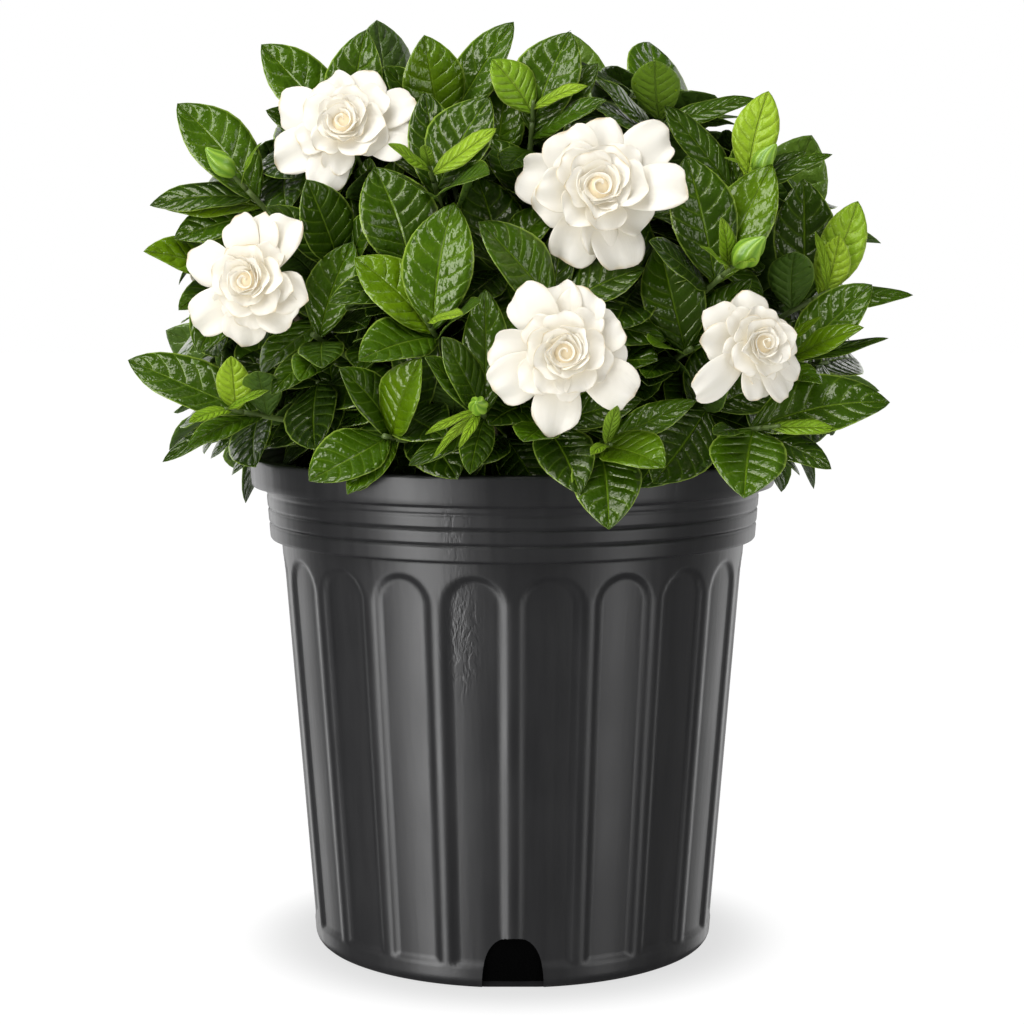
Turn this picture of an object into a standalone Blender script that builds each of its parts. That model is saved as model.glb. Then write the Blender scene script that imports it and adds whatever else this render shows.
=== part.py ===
"""Potted gardenia in a nursery pot: metres, +Z up, origin on the floor under the middle of the pot.

The pot, its soil, the woody limbs, the leafy shoots, the young tips and the double blooms are separate
solids. The front of the plant, where -Y is the front, is laid out shoot by shoot, and the sides, back and
top follow a rule. Every blade is tried against all that already stands and is swung until it is clear.
"""
import math
import random

import bmesh
import bpy
from mathutils import Matrix, Vector
from mathutils.bvhtree import BVHTree
from mathutils.geometry import tessellate_polygon

MM = 0.001
GAP = 0.3 * MM                      # running gap between pieces that touch

# Pot
POT_COLUMNS = 40                    # sides of the outer wall, two to each panel
INNER_COLUMNS = 18                  # sides of the plain inner wall
PANELS = 20                         # recessed arched panels round the body, 18 degrees apart
FOOT_RADIUS = 101.5 * MM            # flat ring that the pot stands on
FOOT_ROUND_RADIUS = 106.9 * MM
FOOT_ROUND_HEIGHT = 6 * MM
BODY_TOP_RADIUS = 123.4 * MM
COLLAR_BOTTOM = 217.5 * MM
COLLAR_BOTTOM_RADIUS = 129.2 * MM
COLLAR_TOP_RADIUS = 131.5 * MM
LIP_BOTTOM = 245.5 * MM
LIP_BOTTOM_RADIUS = 138.7 * MM
POT_HEIGHT = 261.3 * MM
LIP_RADIUS = 140 * MM               # 280 mm across, a three-gallon nursery pot
LIP_INNER_RADIUS = 133.5 * MM
LIP_STEP_DROP = 3.2 * MM
WALL = 2.6 * MM
FLOOR_THICKNESS = 3 * MM
PANEL_DEPTH = 1.2 * MM
PANEL_HALF_ANGLE = math.radians(7.8)
PANEL_FLAT_HALF_ANGLE = math.radians(5.8)
PANEL_BOTTOM = 12 * MM
ARCH_TOP = 211.5 * MM
NOTCH_WIDTH = 31 * MM
NOTCH_FLAT = 12 * MM                # flat top of a drain notch
NOTCH_HEIGHT = 27 * MM
NOTCH_REACH = 9 * MM                # how far a notch bites into the floor plate
NOTCH_PANELS = (0, 7, 13)           # panels round from the front to each notch

# Soil and trunk
SOIL_TOP = 236 * MM
SOIL_CROWN = 5 * MM
TRUNK_RADIUS = 6.5 * MM
TRUNK_SIDES = 9
TRUNK_DEPTH = 45 * MM               # how deep the trunk stands in its hole
TRUNK_FORK = 252 * MM
MAIN_LIMBS = 6
MAIN_LIMB_SPREAD = 66 * MM
MAIN_LIMB_TOP = 322 * MM
LIMB_BASE_RADIUS = 4.6 * MM
LIMB_TOP_RADIUS = 2.8 * MM
LIMB_SIDES = 5
SIDE_LIMB_RADII = (2.8 * MM, 2.4 * MM, 2.0 * MM)
SIDE_LIMB_ROOM = 3.6 * MM           # radius kept clear round a side limb
SIDE_LIMB_PULLS = (0.35, 0.2, 0.6)  # places of its knee, as shares of its length

# Shoots
STEM_LENGTH = 46 * MM
STEM_RADIUS = 1.6 * MM
STEM_SIDES = 3
HEART_OF_BUSH = (0, 0, 268 * MM)    # the shoots point away from here
LIFT_OF_SHOOTS = 12 * MM
FIRST_LEAF = 5.5 * MM               # from the end of a leafy stem back to its first leaf
LEAF_STEP = 3.2 * MM
TIP_LENGTH = 11 * MM                # stem of a young tip
TIP_FIRST_LEAF = 4 * MM
TIP_LEAF_STEP = 2.5 * MM
BLADE_THICKNESS = 0.7 * MM
BLADE_WAVE = 0.02                   # ripple of a leaf's edge, as a share of its length
CLEAR = 0.35 * MM                   # room kept on both sides of a blade
LEAF_ROOT = 0.14                    # share of a leaf that may lie in its neighbours at the root

# Outlines of blades: stations (t, share of the half width)
LEAF_STATIONS = ((0.32, 0.80), (0.66, 0.94))
PETAL_STATIONS = ((0.42, 0.62), (0.80, 1.0))

# Leaf kinds: least length in mm, width as a share of it, droop of the tip, fold of the halves
MATURE = (47, 0.60, 0.14, 0.20)
SIDE = (60, 0.62, 0.17, 0)
YOUNG = (30, 0.46, 0.08, 0.34)
NARROW = 50                         # a leaf seen no wider than this, in pixels, is left flat

# The photo's view: eye in mm, degrees that it looks down, pixels for one unit of slope, middle of the picture
EYE = (0, -1254.1, 358.8)
LOOKS_DOWN = 5.866
SLOPE_PIXELS = 2352
PICTURE_MIDDLE = (512.8, 512)

# Front shoots: name, place in the photo in pixels, depth y in mm, mature leaves, young leaves. A leaf is
# (x of its tip, y of its tip, width), read off the photo in pixels. Where the photo shows less than the least
# length, the rest reaches outward. The leaves that matter most come first.
FRONT_SHOOTS = [
    ("a", (343, 130), -66, [(263, 43, 58), (367, 30, 52), (266, 110, 40), (283, 216, 50)], []),
    ("b", (440, 118), -72, [(425, 36, 56), (512, 21, 46), (386, 66, 44), (398, 158, 40)], []),
    ("c", (532, 122), -82, [(571, 32, 60), (604, 98, 28), (596, 62, 36), (506, 168, 36)], [(493, 59, 42), (586, 84, 16)]),
    ("d", (664, 112), -80, [(648, 48, 42), (755, 98, 24), (597, 79, 26), (606, 110, 40)], []),
    ("e", (742, 186), -100, [(665, 105, 34), (831, 152, 20), (777, 120, 34), (806, 150, 26)], [(768, 91, 40), (727, 155, 10)]),
    ("f", (247, 190), -100, [(150, 202, 34), (185, 96, 58), (173, 165, 30), (177, 234, 44)], [(258, 142, 8)]),
    ("g", (222, 268), -88, [(147, 248, 44), (227, 177, 54), (198, 350, 48), (168, 310, 36)], []),
    ("h", (243, 412), -122, [(127, 360, 54), (162, 460, 22), (186, 400, 26), (262, 345, 34)],
     [(231, 356, 31), (190, 420, 16), (267, 389, 12)]),
    ("i", (312, 334), -122, [(353, 242, 46), (322, 366, 40), (300, 380, 36), (262, 398, 30)], []),
    ("j", (430, 326), -150, [(453, 203, 64), (357, 256, 56), (361, 356, 54), (478, 300, 36)], [(463, 314, 18)]),
    ("k", (434, 182), -126, [(488, 97, 60), (497, 170, 44), (425, 92, 44), (397, 176, 22)],
     [(496, 128, 24), (388, 144, 20), (424, 145, 12)]),
    ("l", (556, 300), -136, [(481, 218, 56), (641, 268, 50), (666, 338, 46), (602, 226, 30)], []),
    ("m", (384, 436), -150, [(309, 481, 56), (417, 361, 48), (353, 486, 30), (345, 376, 44)], []),
    ("n", (482, 412), -158, [(442, 337, 38), (485, 290, 42), (424, 342, 36), (470, 474, 30), (409, 465, 26)],
     [(432, 457, 9), (425, 434, 9), (459, 447, 9)]),
    ("o", (546, 424), -152, [(579, 490, 52), (524, 441, 42), (640, 398, 40)], []),
    ("p", (604, 446), -160, [(609, 525, 62), (679, 466, 50), (694, 398, 32)], [(620, 400, 14), (592, 452, 12)]),
    ("q", (692, 348), -122, [(659, 243, 58), (654, 346, 36), (751, 278, 34), (646, 378, 34)], []),
    ("r", (762, 428), -136, [(744, 498, 68), (887, 388, 64), (831, 467, 34), (714, 448, 24)], [(836, 427, 18)]),
    ("s", (722, 276), -124, [(688, 156, 60), (772, 163, 56), (634, 236, 40)], [(722, 218, 16), (695, 243, 12), (755, 260, 10)]),
    ("t", (812, 300), -84, [(805, 178, 56), (913, 295, 24), (788, 232, 40)],
     [(858, 201, 42), (838, 233, 30), (812, 226, 10)]),
    ("u", (800, 356), -104, [(870, 283, 50), (860, 325, 30), (888, 337, 14), (821, 381, 26), (818, 315, 14)], []),
    ("v", (408, 266), -132, [(376, 167, 70), (330, 300, 36), (398, 316, 40)], []),
    ("w", (333, 258), -112, [(305, 187, 52), (268, 206, 40), (384, 234, 36)], []),
]
# Other shoots: name, azimuth from the front towards +X in degrees, radius and height in mm, young leaves
AROUND_SHOOTS = [
    ("back_a", 108, 160, 296, 0),
    ("back_b", 138, 166, 292, 0),
    ("back_c", 178, 168, 290, 0),
    ("back_d", 214, 166, 294, 0),
    ("back_e", 250, 156, 292, 0),
    ("back_f", 104, 150, 384, 0),
    ("back_g", 150, 158, 366, 0),
    ("back_h", 203, 156, 372, 0),
    ("back_i", 250, 158, 366, 0),
    ("back_j", 90, 74, 436, 0),
    ("back_k", 158, 84, 440, 0),
    ("back_l", 238, 82, 444, 0),
    ("back_m", 330, 18, 443, 2),
]
# Blooms: shoot, middle (x, y, z) in mm, facing azimuth and elevation, roll, radius in mm
BLOOMS = [
    ("a", (-80, -106, 427), -8, 16, 10, 37),
    ("g", (-123, -132, 353), -16, 6, 0, 34),
    ("d", (40, -126, 396), 4, 10, 20, 43),
    ("l", (24, -176, 321), -2, 4, 5, 36),
    ("u", (114, -148, 324), 22, 8, 15, 31),
    ("back_g", (88, 168, 372), 152, 14, 0, 37),
    ("back_i", (-166, 62, 372), 250, 12, 12, 35),
]
# Rings of a bloom: petals, reach and width as shares, rise in degrees, droop, lift, turn
PETAL_RINGS = (
    (6, 1.00, 0.84, 2, 0.10, -0.12, 0),
    (5, 0.80, 0.80, 28, 0.02, -0.02, 30),
    (3, 0.62, 0.78, 60, -0.12, 0.07, 12),
)
PETAL_ROOT = 0.06                   # distance of the petals' roots from the middle
PETAL_TWIST = 13                    # degrees, so that each petal lies over the next
PETAL_FOLD = 0.16
PETAL_WAVE = 0.015
BLOOM_NECK = 0.55                   # from a bloom's middle back to the end of its stem
# The rolled heart on its throat: (lift, radius), both as shares of the bloom's radius
HEART = ((-0.16, 0.13), (0.08, 0.16), (0.30, 0.15), (0.46, 0.03))

# Closed buds, each at the end of a young tip or beside it: shoot, length in mm
BUDS = {"f": 21, "s": 25, "n": 17, "e": 19}

GREEN = (0.040, 0.110, 0.018)
YOUNG_GREEN = (0.190, 0.330, 0.025)
CREAM = (0.860, 0.800, 0.640)
BLACK_PLASTIC = (0.045, 0.045, 0.047)
SOIL_BROWN = (0.045, 0.028, 0.016)
BARK = (0.150, 0.095, 0.050)

UP = Vector((0, 0, 1))
FRONT = Vector((0, -1, 0.08)).normalized()


def clear_scene():
    for thing in list(bpy.data.objects):
        bpy.data.objects.remove(thing, do_unlink=True)


def make_material(name, colour, roughness, metallic=0.0):
    material = bpy.data.materials.new(name)
    material.use_nodes = True
    shader = material.node_tree.nodes["Principled BSDF"]
    shader.inputs["Base Color"].default_value = (*colour, 1)
    shader.inputs["Roughness"].default_value = roughness
    shader.inputs["Metallic"].default_value = metallic
    return material


def make_object(name, verts, faces, material):
    mesh = bpy.data.meshes.new(name)
    mesh.from_pydata([tuple(v) for v in verts], [], faces)
    mesh.materials.append(material)
    mesh.validate()
    thing = bpy.data.objects.new(name, mesh)
    bpy.context.scene.collection.objects.link(thing)
    return thing


def union_all(thing, pieces):
    """Join pieces, a list of (verts, faces), to thing with one Boolean union. EXACT leaves open edges."""
    group = bpy.data.collections.new(thing.name + "_pieces")
    bpy.context.scene.collection.children.link(group)
    for verts, faces in pieces:
        mesh = bpy.data.meshes.new("piece")
        mesh.from_pydata([tuple(v) for v in verts], [], faces)
        mesh.materials.append(thing.data.materials[0])
        group.objects.link(bpy.data.objects.new("piece", mesh))
    union = thing.modifiers.new("union", "BOOLEAN")
    union.operation = "UNION"
    union.operand_type = "COLLECTION"
    union.collection = group
    union.solver = "MANIFOLD"
    bpy.context.view_layer.update()
    joined = bpy.data.meshes.new_from_object(thing.evaluated_get(bpy.context.evaluated_depsgraph_get()))
    thing.modifiers.clear()
    thing.data = joined
    keep_main_body(thing)
    for piece in list(group.objects):
        bpy.data.objects.remove(piece, do_unlink=True)
    bpy.data.collections.remove(group)
    return thing


def keep_main_body(thing):
    """Drop loose scraps, and the walls of hollows that the union sealed, which fills them."""
    mesh = bmesh.new()
    mesh.from_mesh(thing.data)
    unseen = set(mesh.verts)
    islands = []
    while unseen:
        reached = [unseen.pop()]
        for vert in reached:
            for edge in vert.link_edges:
                other = edge.other_vert(vert)
                if other in unseen:
                    unseen.remove(other)
                    reached.append(other)
        islands.append(reached)
    islands.sort(key=len)
    for island in islands[:-1]:
        low = min(v.co.z for v in island)
        high = max(v.co.z for v in island)
        print(thing.name, "drops a scrap or hollow of", len(island), "corners", round((high - low) / MM, 2), "mm high")
        bmesh.ops.delete(mesh, geom=island, context="VERTS")
    mesh.to_mesh(thing.data)
    mesh.free()


def cut(thing, verts, faces):
    """Cut the closed shape verts, faces out of thing. EXACT leaves open edges at the second notch."""
    mesh = bpy.data.meshes.new("cutter")
    mesh.from_pydata([tuple(v) for v in verts], [], faces)
    cutter = bpy.data.objects.new("cutter", mesh)
    bpy.context.scene.collection.objects.link(cutter)
    difference = thing.modifiers.new("cut", "BOOLEAN")
    difference.operation = "DIFFERENCE"
    difference.object = cutter
    difference.solver = "MANIFOLD"
    bpy.context.view_layer.update()
    left = bpy.data.meshes.new_from_object(thing.evaluated_get(bpy.context.evaluated_depsgraph_get()))
    thing.modifiers.clear()
    thing.data = left
    bpy.data.objects.remove(cutter, do_unlink=True)


def polar(radius, angle, z):
    """Angle 0 is the front, -Y, and it grows towards +X."""
    return Vector((radius * math.sin(angle), -radius * math.cos(angle), z))


class Shell:
    """Vertices and faces gathered piece by piece."""

    def __init__(self):
        self.verts = []
        self.faces = []

    def ring(self, radius, z, columns, start=0.0):
        first = len(self.verts)
        self.verts += [polar(radius, start + math.tau * i / columns, z) for i in range(columns)]
        return list(range(first, first + columns))

    def band(self, low, high):
        """Quads between two rings of one count, facing out when low is below high."""
        count = len(low)
        for i in range(count):
            k = (i + 1) % count
            self.faces.append((low[i], low[k], high[k], high[i]))

    def mixed_band(self, low, high):
        """Triangles between rings of different counts that start at one angle."""
        i = k = 0
        while i < len(low) or k < len(high):
            if k == len(high) or (i < len(low) and (i + 1) / len(low) <= (k + 1) / len(high)):
                self.faces.append((low[i % len(low)], low[(i + 1) % len(low)], high[k % len(high)]))
                i += 1
            else:
                self.faces.append((low[i % len(low)], high[(k + 1) % len(high)], high[k % len(high)]))
                k += 1


def body_radius(z):
    """Outer radius of the tapered body, above the rounded foot."""
    share = (z - FOOT_ROUND_HEIGHT) / (COLLAR_BOTTOM - FOOT_ROUND_HEIGHT)
    return FOOT_ROUND_RADIUS + share * (BODY_TOP_RADIUS - FOOT_ROUND_RADIUS)


def arch_outline(half_angle, bottom, top):
    """Outline of an arched panel as (angle, z), anticlockwise from the lower left corner."""
    radius = half_angle * BODY_TOP_RADIUS
    spring = top - radius
    points = [(-half_angle, bottom), (half_angle, bottom), (half_angle, spring)]
    for step in (45, 90, 135):
        turn = math.radians(step)
        points.append((half_angle * math.cos(turn), spring + radius * math.sin(turn)))
    points.append((-half_angle, spring))
    return points


def body_with_panels(shell, low, high):
    """The body's wall between the rings low and high, with its arched panels sunk in."""
    pitch = math.tau / PANELS
    share = POT_COLUMNS // PANELS
    border = (PANEL_HALF_ANGLE - PANEL_FLAT_HALF_ANGLE) * BODY_TOP_RADIUS
    rim = arch_outline(PANEL_HALF_ANGLE, PANEL_BOTTOM, ARCH_TOP)
    flat = arch_outline(PANEL_FLAT_HALF_ANGLE, PANEL_BOTTOM + 2 * border, ARCH_TOP - border)
    for panel in range(PANELS):
        middle = (panel + 0.5) * pitch
        first = panel * share
        columns = [(first + i) % POT_COLUMNS for i in range(share + 1)]
        edge = [low[c] for c in columns] + [high[c] for c in reversed(columns)]
        across = [2 * i / share - 1 for i in range(share + 1)]
        bulge = 1 * MM                  # in the flat pattern only, so that no three corners are in line
        flat_edge = [(u * pitch / 2, FOOT_ROUND_HEIGHT - bulge * (1 - u * u)) for u in across]
        flat_edge += [(-u * pitch / 2, COLLAR_BOTTOM + bulge * (1 - u * u)) for u in across]
        rim_ids = []
        for angle, z in rim:
            rim_ids.append(len(shell.verts))
            shell.verts.append(polar(body_radius(z), middle + angle, z))
        flat_ids = []
        for angle, z in flat:
            flat_ids.append(len(shell.verts))
            shell.verts.append(polar(body_radius(z) - PANEL_DEPTH, middle + angle, z))
        ids = edge + rim_ids
        loops = [[Vector((a * BODY_TOP_RADIUS, z, 0)) for a, z in flat_edge],
                 [Vector((a * BODY_TOP_RADIUS, z, 0)) for a, z in rim]]
        places = loops[0] + loops[1]
        for tri in tessellate_polygon(loops):
            a, b, c = (places[i] for i in tri)
            turn = (b - a).cross(c - a).z
            corners = [ids[i] for i in tri]
            shell.faces.append(tuple(corners if turn > 0 else reversed(corners)))
        for i in range(len(rim)):
            k = (i + 1) % len(rim)
            shell.faces.append((rim_ids[i], rim_ids[k], flat_ids[k]))
            shell.faces.append((rim_ids[i], flat_ids[k], flat_ids[i]))
        shell.faces.append(tuple(flat_ids))


def notch_cutter(angle):
    """A drain notch: a prism with a flat-topped arch for its outline, across the foot of the wall."""
    half = NOTCH_WIDTH / 2
    outline = [(-half, -2 * MM), (half, -2 * MM), (half * 0.98, NOTCH_HEIGHT * 0.45),
               (half * 0.80, NOTCH_HEIGHT * 0.80), (NOTCH_FLAT / 2, NOTCH_HEIGHT),
               (-NOTCH_FLAT / 2, NOTCH_HEIGHT), (-half * 0.80, NOTCH_HEIGHT * 0.80),
               (-half * 0.98, NOTCH_HEIGHT * 0.45)]
    out = polar(1, angle, 0)
    across = Vector((-out.y, out.x, 0))
    inner = FOOT_RADIUS - NOTCH_REACH
    outer = FOOT_ROUND_RADIUS + 12 * MM
    verts = [out * inner + across * u + UP * z for u, z in outline]
    verts += [out * outer + across * u + UP * z for u, z in outline]
    count = len(outline)
    faces = [tuple(reversed(range(count))), tuple(range(count, 2 * count))]
    faces += [(i, (i + 1) % count, count + (i + 1) % count, count + i) for i in range(count)]
    return verts, faces


def make_pot(material):
    shell = Shell()
    foot = shell.ring(FOOT_RADIUS, 0, POT_COLUMNS)
    shell.faces.append(tuple(reversed(foot)))
    low = shell.ring(FOOT_ROUND_RADIUS, FOOT_ROUND_HEIGHT, POT_COLUMNS)
    shell.band(foot, low)
    body_top = shell.ring(BODY_TOP_RADIUS, COLLAR_BOTTOM, POT_COLUMNS)
    body_with_panels(shell, low, body_top)
    rows = [body_top]
    for radius, z in ((COLLAR_BOTTOM_RADIUS, COLLAR_BOTTOM), (COLLAR_TOP_RADIUS, LIP_BOTTOM),
                      (LIP_BOTTOM_RADIUS, LIP_BOTTOM), (LIP_RADIUS, POT_HEIGHT),
                      (LIP_INNER_RADIUS, POT_HEIGHT), (LIP_INNER_RADIUS, POT_HEIGHT - LIP_STEP_DROP)):
        rows.append(shell.ring(radius, z, POT_COLUMNS))
    inner_top = shell.ring(COLLAR_TOP_RADIUS - WALL, POT_HEIGHT - LIP_STEP_DROP - 1 * MM, INNER_COLUMNS)
    for lower, upper in zip(rows, rows[1:]):
        shell.band(lower, upper)
    shell.mixed_band(rows[-1], inner_top)
    inner = [inner_top]
    for z in (COLLAR_BOTTOM + 12 * MM, COLLAR_BOTTOM - 6 * MM):
        inner.append(shell.ring(inner_radius(z), z, INNER_COLUMNS))
    inner.append(shell.ring(inner_radius(FLOOR_THICKNESS), FLOOR_THICKNESS, INNER_COLUMNS))
    for upper, lower in zip(inner, inner[1:]):
        shell.band(upper, lower)
    shell.faces.append(tuple(inner[-1]))
    pot = make_object("nursery_pot", shell.verts, shell.faces, material)
    for panels in NOTCH_PANELS:
        cut(pot, *notch_cutter(math.tau * panels / PANELS))
    pot.data.shade_smooth()
    pot.data.set_sharp_from_angle(angle=math.radians(25))
    return pot


def inner_radius(z):
    """Inner radius of the pot: the collar, a short shoulder and the taper."""
    if z > COLLAR_BOTTOM + 11 * MM:
        return COLLAR_BOTTOM_RADIUS - WALL
    return body_radius(max(z, FOOT_ROUND_HEIGHT)) - WALL


def make_soil(material):
    """Soil that fills the pot, with a low crown and the plain hole for the trunk."""
    shell = Shell()
    random.seed(11)
    bottom = FLOOR_THICKNESS + GAP
    clear = GAP + 0.15 * MM
    base = shell.ring(inner_radius(bottom) - clear, bottom, INNER_COLUMNS)
    shell.faces.append(tuple(reversed(base)))
    rows = [base]
    for z in (COLLAR_BOTTOM - 6.5 * MM, COLLAR_BOTTOM + 12 * MM - 0.4 * MM):
        rows.append(shell.ring(inner_radius(COLLAR_BOTTOM - 6 * MM if z < COLLAR_BOTTOM else z) - clear - 0.1 * MM,
                               z, INNER_COLUMNS))
    edge = shell.ring(COLLAR_BOTTOM_RADIUS - WALL - clear, SOIL_TOP - 2 * MM, INNER_COLUMNS)
    rows.append(edge)
    for lower, upper in zip(rows, rows[1:]):
        shell.band(lower, upper)
    outer = edge
    for radius, share in ((92 * MM, 0.4), (36 * MM, 1.0)):
        ring = shell.ring(radius, SOIL_TOP + SOIL_CROWN * share, INNER_COLUMNS // 2)
        for i in ring:
            shell.verts[i].z += random.uniform(-1.5, 1.5) * MM
        if outer is edge:
            shell.mixed_band(outer, ring)
        else:
            shell.band(outer, ring)
        outer = ring
    hole_radius = (TRUNK_RADIUS + GAP) / math.cos(math.pi / TRUNK_SIDES)
    mouth = shell.ring(hole_radius, SOIL_TOP + SOIL_CROWN, TRUNK_SIDES)
    shell.mixed_band(outer, mouth)
    hole_bottom = shell.ring(hole_radius, SOIL_TOP - TRUNK_DEPTH, TRUNK_SIDES)
    shell.band(mouth, hole_bottom)
    shell.faces.append(tuple(hole_bottom))
    return make_object("potting_soil", shell.verts, shell.faces, material)


def cross_frame(direction, turn_from=UP):
    """Two unit vectors square to direction."""
    side = direction.cross(turn_from)
    if side.length < 0.05:
        side = direction.cross(Vector((1, 0, 0)))
    side.normalize()
    return side, side.cross(direction).normalized()


def tube(points, radii, sides):
    """A closed tube through points, with flat ends."""
    verts = []
    faces = []
    side, _ = cross_frame((points[1] - points[0]).normalized())
    for i, (point, radius) in enumerate(zip(points, radii)):
        ahead = (points[min(i + 1, len(points) - 1)] - points[max(i - 1, 0)]).normalized()
        side = (side - ahead * side.dot(ahead)).normalized()
        up = ahead.cross(side)
        for k in range(sides):
            turn = math.tau * k / sides
            verts.append(point + side * (radius * math.cos(turn)) + up * (radius * math.sin(turn)))
    for i in range(len(points) - 1):
        for k in range(sides):
            n = (k + 1) % sides
            faces.append((i * sides + k, i * sides + n, (i + 1) * sides + n, (i + 1) * sides + k))
    faces.append(tuple(reversed(range(sides))))
    last = (len(points) - 1) * sides
    faces.append(tuple(range(last, last + sides)))
    return verts, faces


def bezier(start, control, end, count):
    points = []
    for i in range(count):
        t = i / (count - 1)
        points.append(start * (1 - t) ** 2 + control * 2 * t * (1 - t) + end * t ** 2)
    return points


def blade(base, along, normal, length, width, droop, fold, thickness, stations, root=0.0, wave=0.0, phase=0.0):
    """A leaf or petal: a closed thin solid, pointed at its root, with two edge points at each station
    (t, share of the half width), a mid point too where the blade is folded, and a pointed tip. Both faces
    are split alike."""
    sides = (1, 0, -1) if fold else (1, -1)
    step = len(sides)
    across = along.cross(normal).normalized()
    lift = across.cross(along).normalized()

    def middle(t):
        return base + along * (length * t) - lift * (droop * length * t * t)

    def facing(t):
        slope = along - lift * (2 * droop * t)
        return across.cross(slope).normalized()

    half = thickness / 2
    top = [middle(root)]
    down = [facing(root)]
    for number, (t, share) in enumerate(stations):
        reach = width * 0.5 * share
        ripple = wave * length * math.sin(phase + 2.1 * number)
        for sign in sides:
            bend = abs(sign) * (fold * reach + sign * ripple)
            top.append(middle(t) + across * (sign * reach) + lift * bend)
            down.append(facing(t))
    top.append(middle(1.0))
    down.append(facing(1.0))
    verts = [p + n * half for p, n in zip(top, down)] + [p - n * half for p, n in zip(top, down)]
    count = len(top)
    tris = []
    for k in range(step - 1):
        tris.append((0, 1 + k, 2 + k))
        for i in range(len(stations) - 1):
            a = 1 + step * i + k
            b = a + step
            tris += [(a, b, b + 1), (a, b + 1, a + 1)]
        a = count - 1 - step + k
        tris.append((a, count - 1, a + 1))
    edge = [0] + [1 + step * i for i in range(len(stations))] + [count - 1]
    edge += [step + step * i for i in reversed(range(len(stations)))]
    faces = list(tris)
    faces += [(c + count, b + count, a + count) for a, b, c in tris]
    for i in range(len(edge)):
        p = edge[i]
        q = edge[(i + 1) % len(edge)]
        faces.append((q, p, p + count))
        faces.append((q, p + count, q + count))
    return verts, faces


def tree_of(verts, faces):
    return BVHTree.FromPolygons([Vector(v) for v in verts], [tuple(f) for f in faces])


class Room:
    """What already stands, as search trees with a ball round each."""

    def __init__(self):
        self.things = []

    def add(self, owner, verts, faces):
        middle = sum((Vector(v) for v in verts), Vector()) / len(verts)
        reach = max((Vector(v) - middle).length for v in verts)
        self.things.append((owner, middle, reach, tree_of(verts, faces)))

    def crossed(self, verts, faces, skip=()):
        middle = sum((Vector(v) for v in verts), Vector()) / len(verts)
        reach = max((Vector(v) - middle).length for v in verts)
        tree = None
        for owner, other, far, standing in self.things:
            if owner in skip or (other - middle).length > reach + far:
                continue
            if tree is None:
                tree = tree_of(verts, faces)
            if tree.overlap(standing):
                return owner
        return None


def view_frame(outward):
    """Right, up and outward, for someone who looks at a shoot from outside."""
    right, up = cross_frame(-outward)
    return right, up, outward


def from_photo(x, y, depth):
    """The point at a depth that the photo shows at pixel (x, y)."""
    down = math.radians(LOOKS_DOWN)
    across = (x - PICTURE_MIDDLE[0]) / SLOPE_PIXELS
    rise = (PICTURE_MIDDLE[1] - y) / SLOPE_PIXELS
    sight = Vector((across, math.cos(down) + rise * math.sin(down), rise * math.cos(down) - math.sin(down)))
    eye = Vector(EYE) * MM
    return eye + sight * ((depth - eye.y) / sight.y)


def face_of(along, outward):
    """Where a leaf turns its face: as far as it can to the sky and to the light from outside."""
    skies = (outward * 0.78 + UP * 0.62).normalized()
    normal = skies - along * skies.dot(along)
    if normal.length < 0.15:
        normal = UP - along * UP.dot(along)
    return normal.normalized()


def seen_leaf(base, frame, tip, least, droop, fold):
    """Clock angle, seen length and kind of the leaf whose drooping tip the photo shows at tip."""
    right, up, outward = frame
    x, y, width = tip
    aim = from_photo(x, y, base.y) - base
    flat = Vector((aim.dot(right), aim.dot(up)))
    for _ in range(12):
        seen = flat.length / MM
        clock = math.degrees(math.atan2(flat.x, flat.y))
        real = max(least, seen * 1.02)
        along = leaf_direction(frame, clock, seen, real)
        lift = face_of(along, outward)
        end = base + (along - lift * droop) * (real * MM)
        miss = from_photo(x, y, end.y) - end
        flat += Vector((miss.dot(right), miss.dot(up))) * 0.7
    ratio = width / SLOPE_PIXELS * (base.y / MM - EYE[1]) / real
    return clock, seen, (real, ratio, droop, fold if width > NARROW else 0)


def leaf_direction(frame, clock, seen, real):
    right, up, outward = frame
    turn = math.radians(clock)
    share = min(seen / real, 0.995)
    flat = right * math.sin(turn) + up * math.cos(turn)
    return (flat * share + outward * math.sqrt(1 - share * share)).normalized()


# Swings tried in turn: a change of the clock angle, and of the seen length as a share of the real one
SWINGS = [(c, s) for c in (0, 4, -4, 8, -8, 12, -12) for s in (0, -0.08, 0.08, -0.16, 0.16)]
SWINGS += [(c, s) for s in (0, 0.1, -0.1, 0.2, -0.2, -0.35) for c in (18, -18, 26, -26, 38, -38)]
SIZES = (1.0, 0.88, 0.76)


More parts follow.
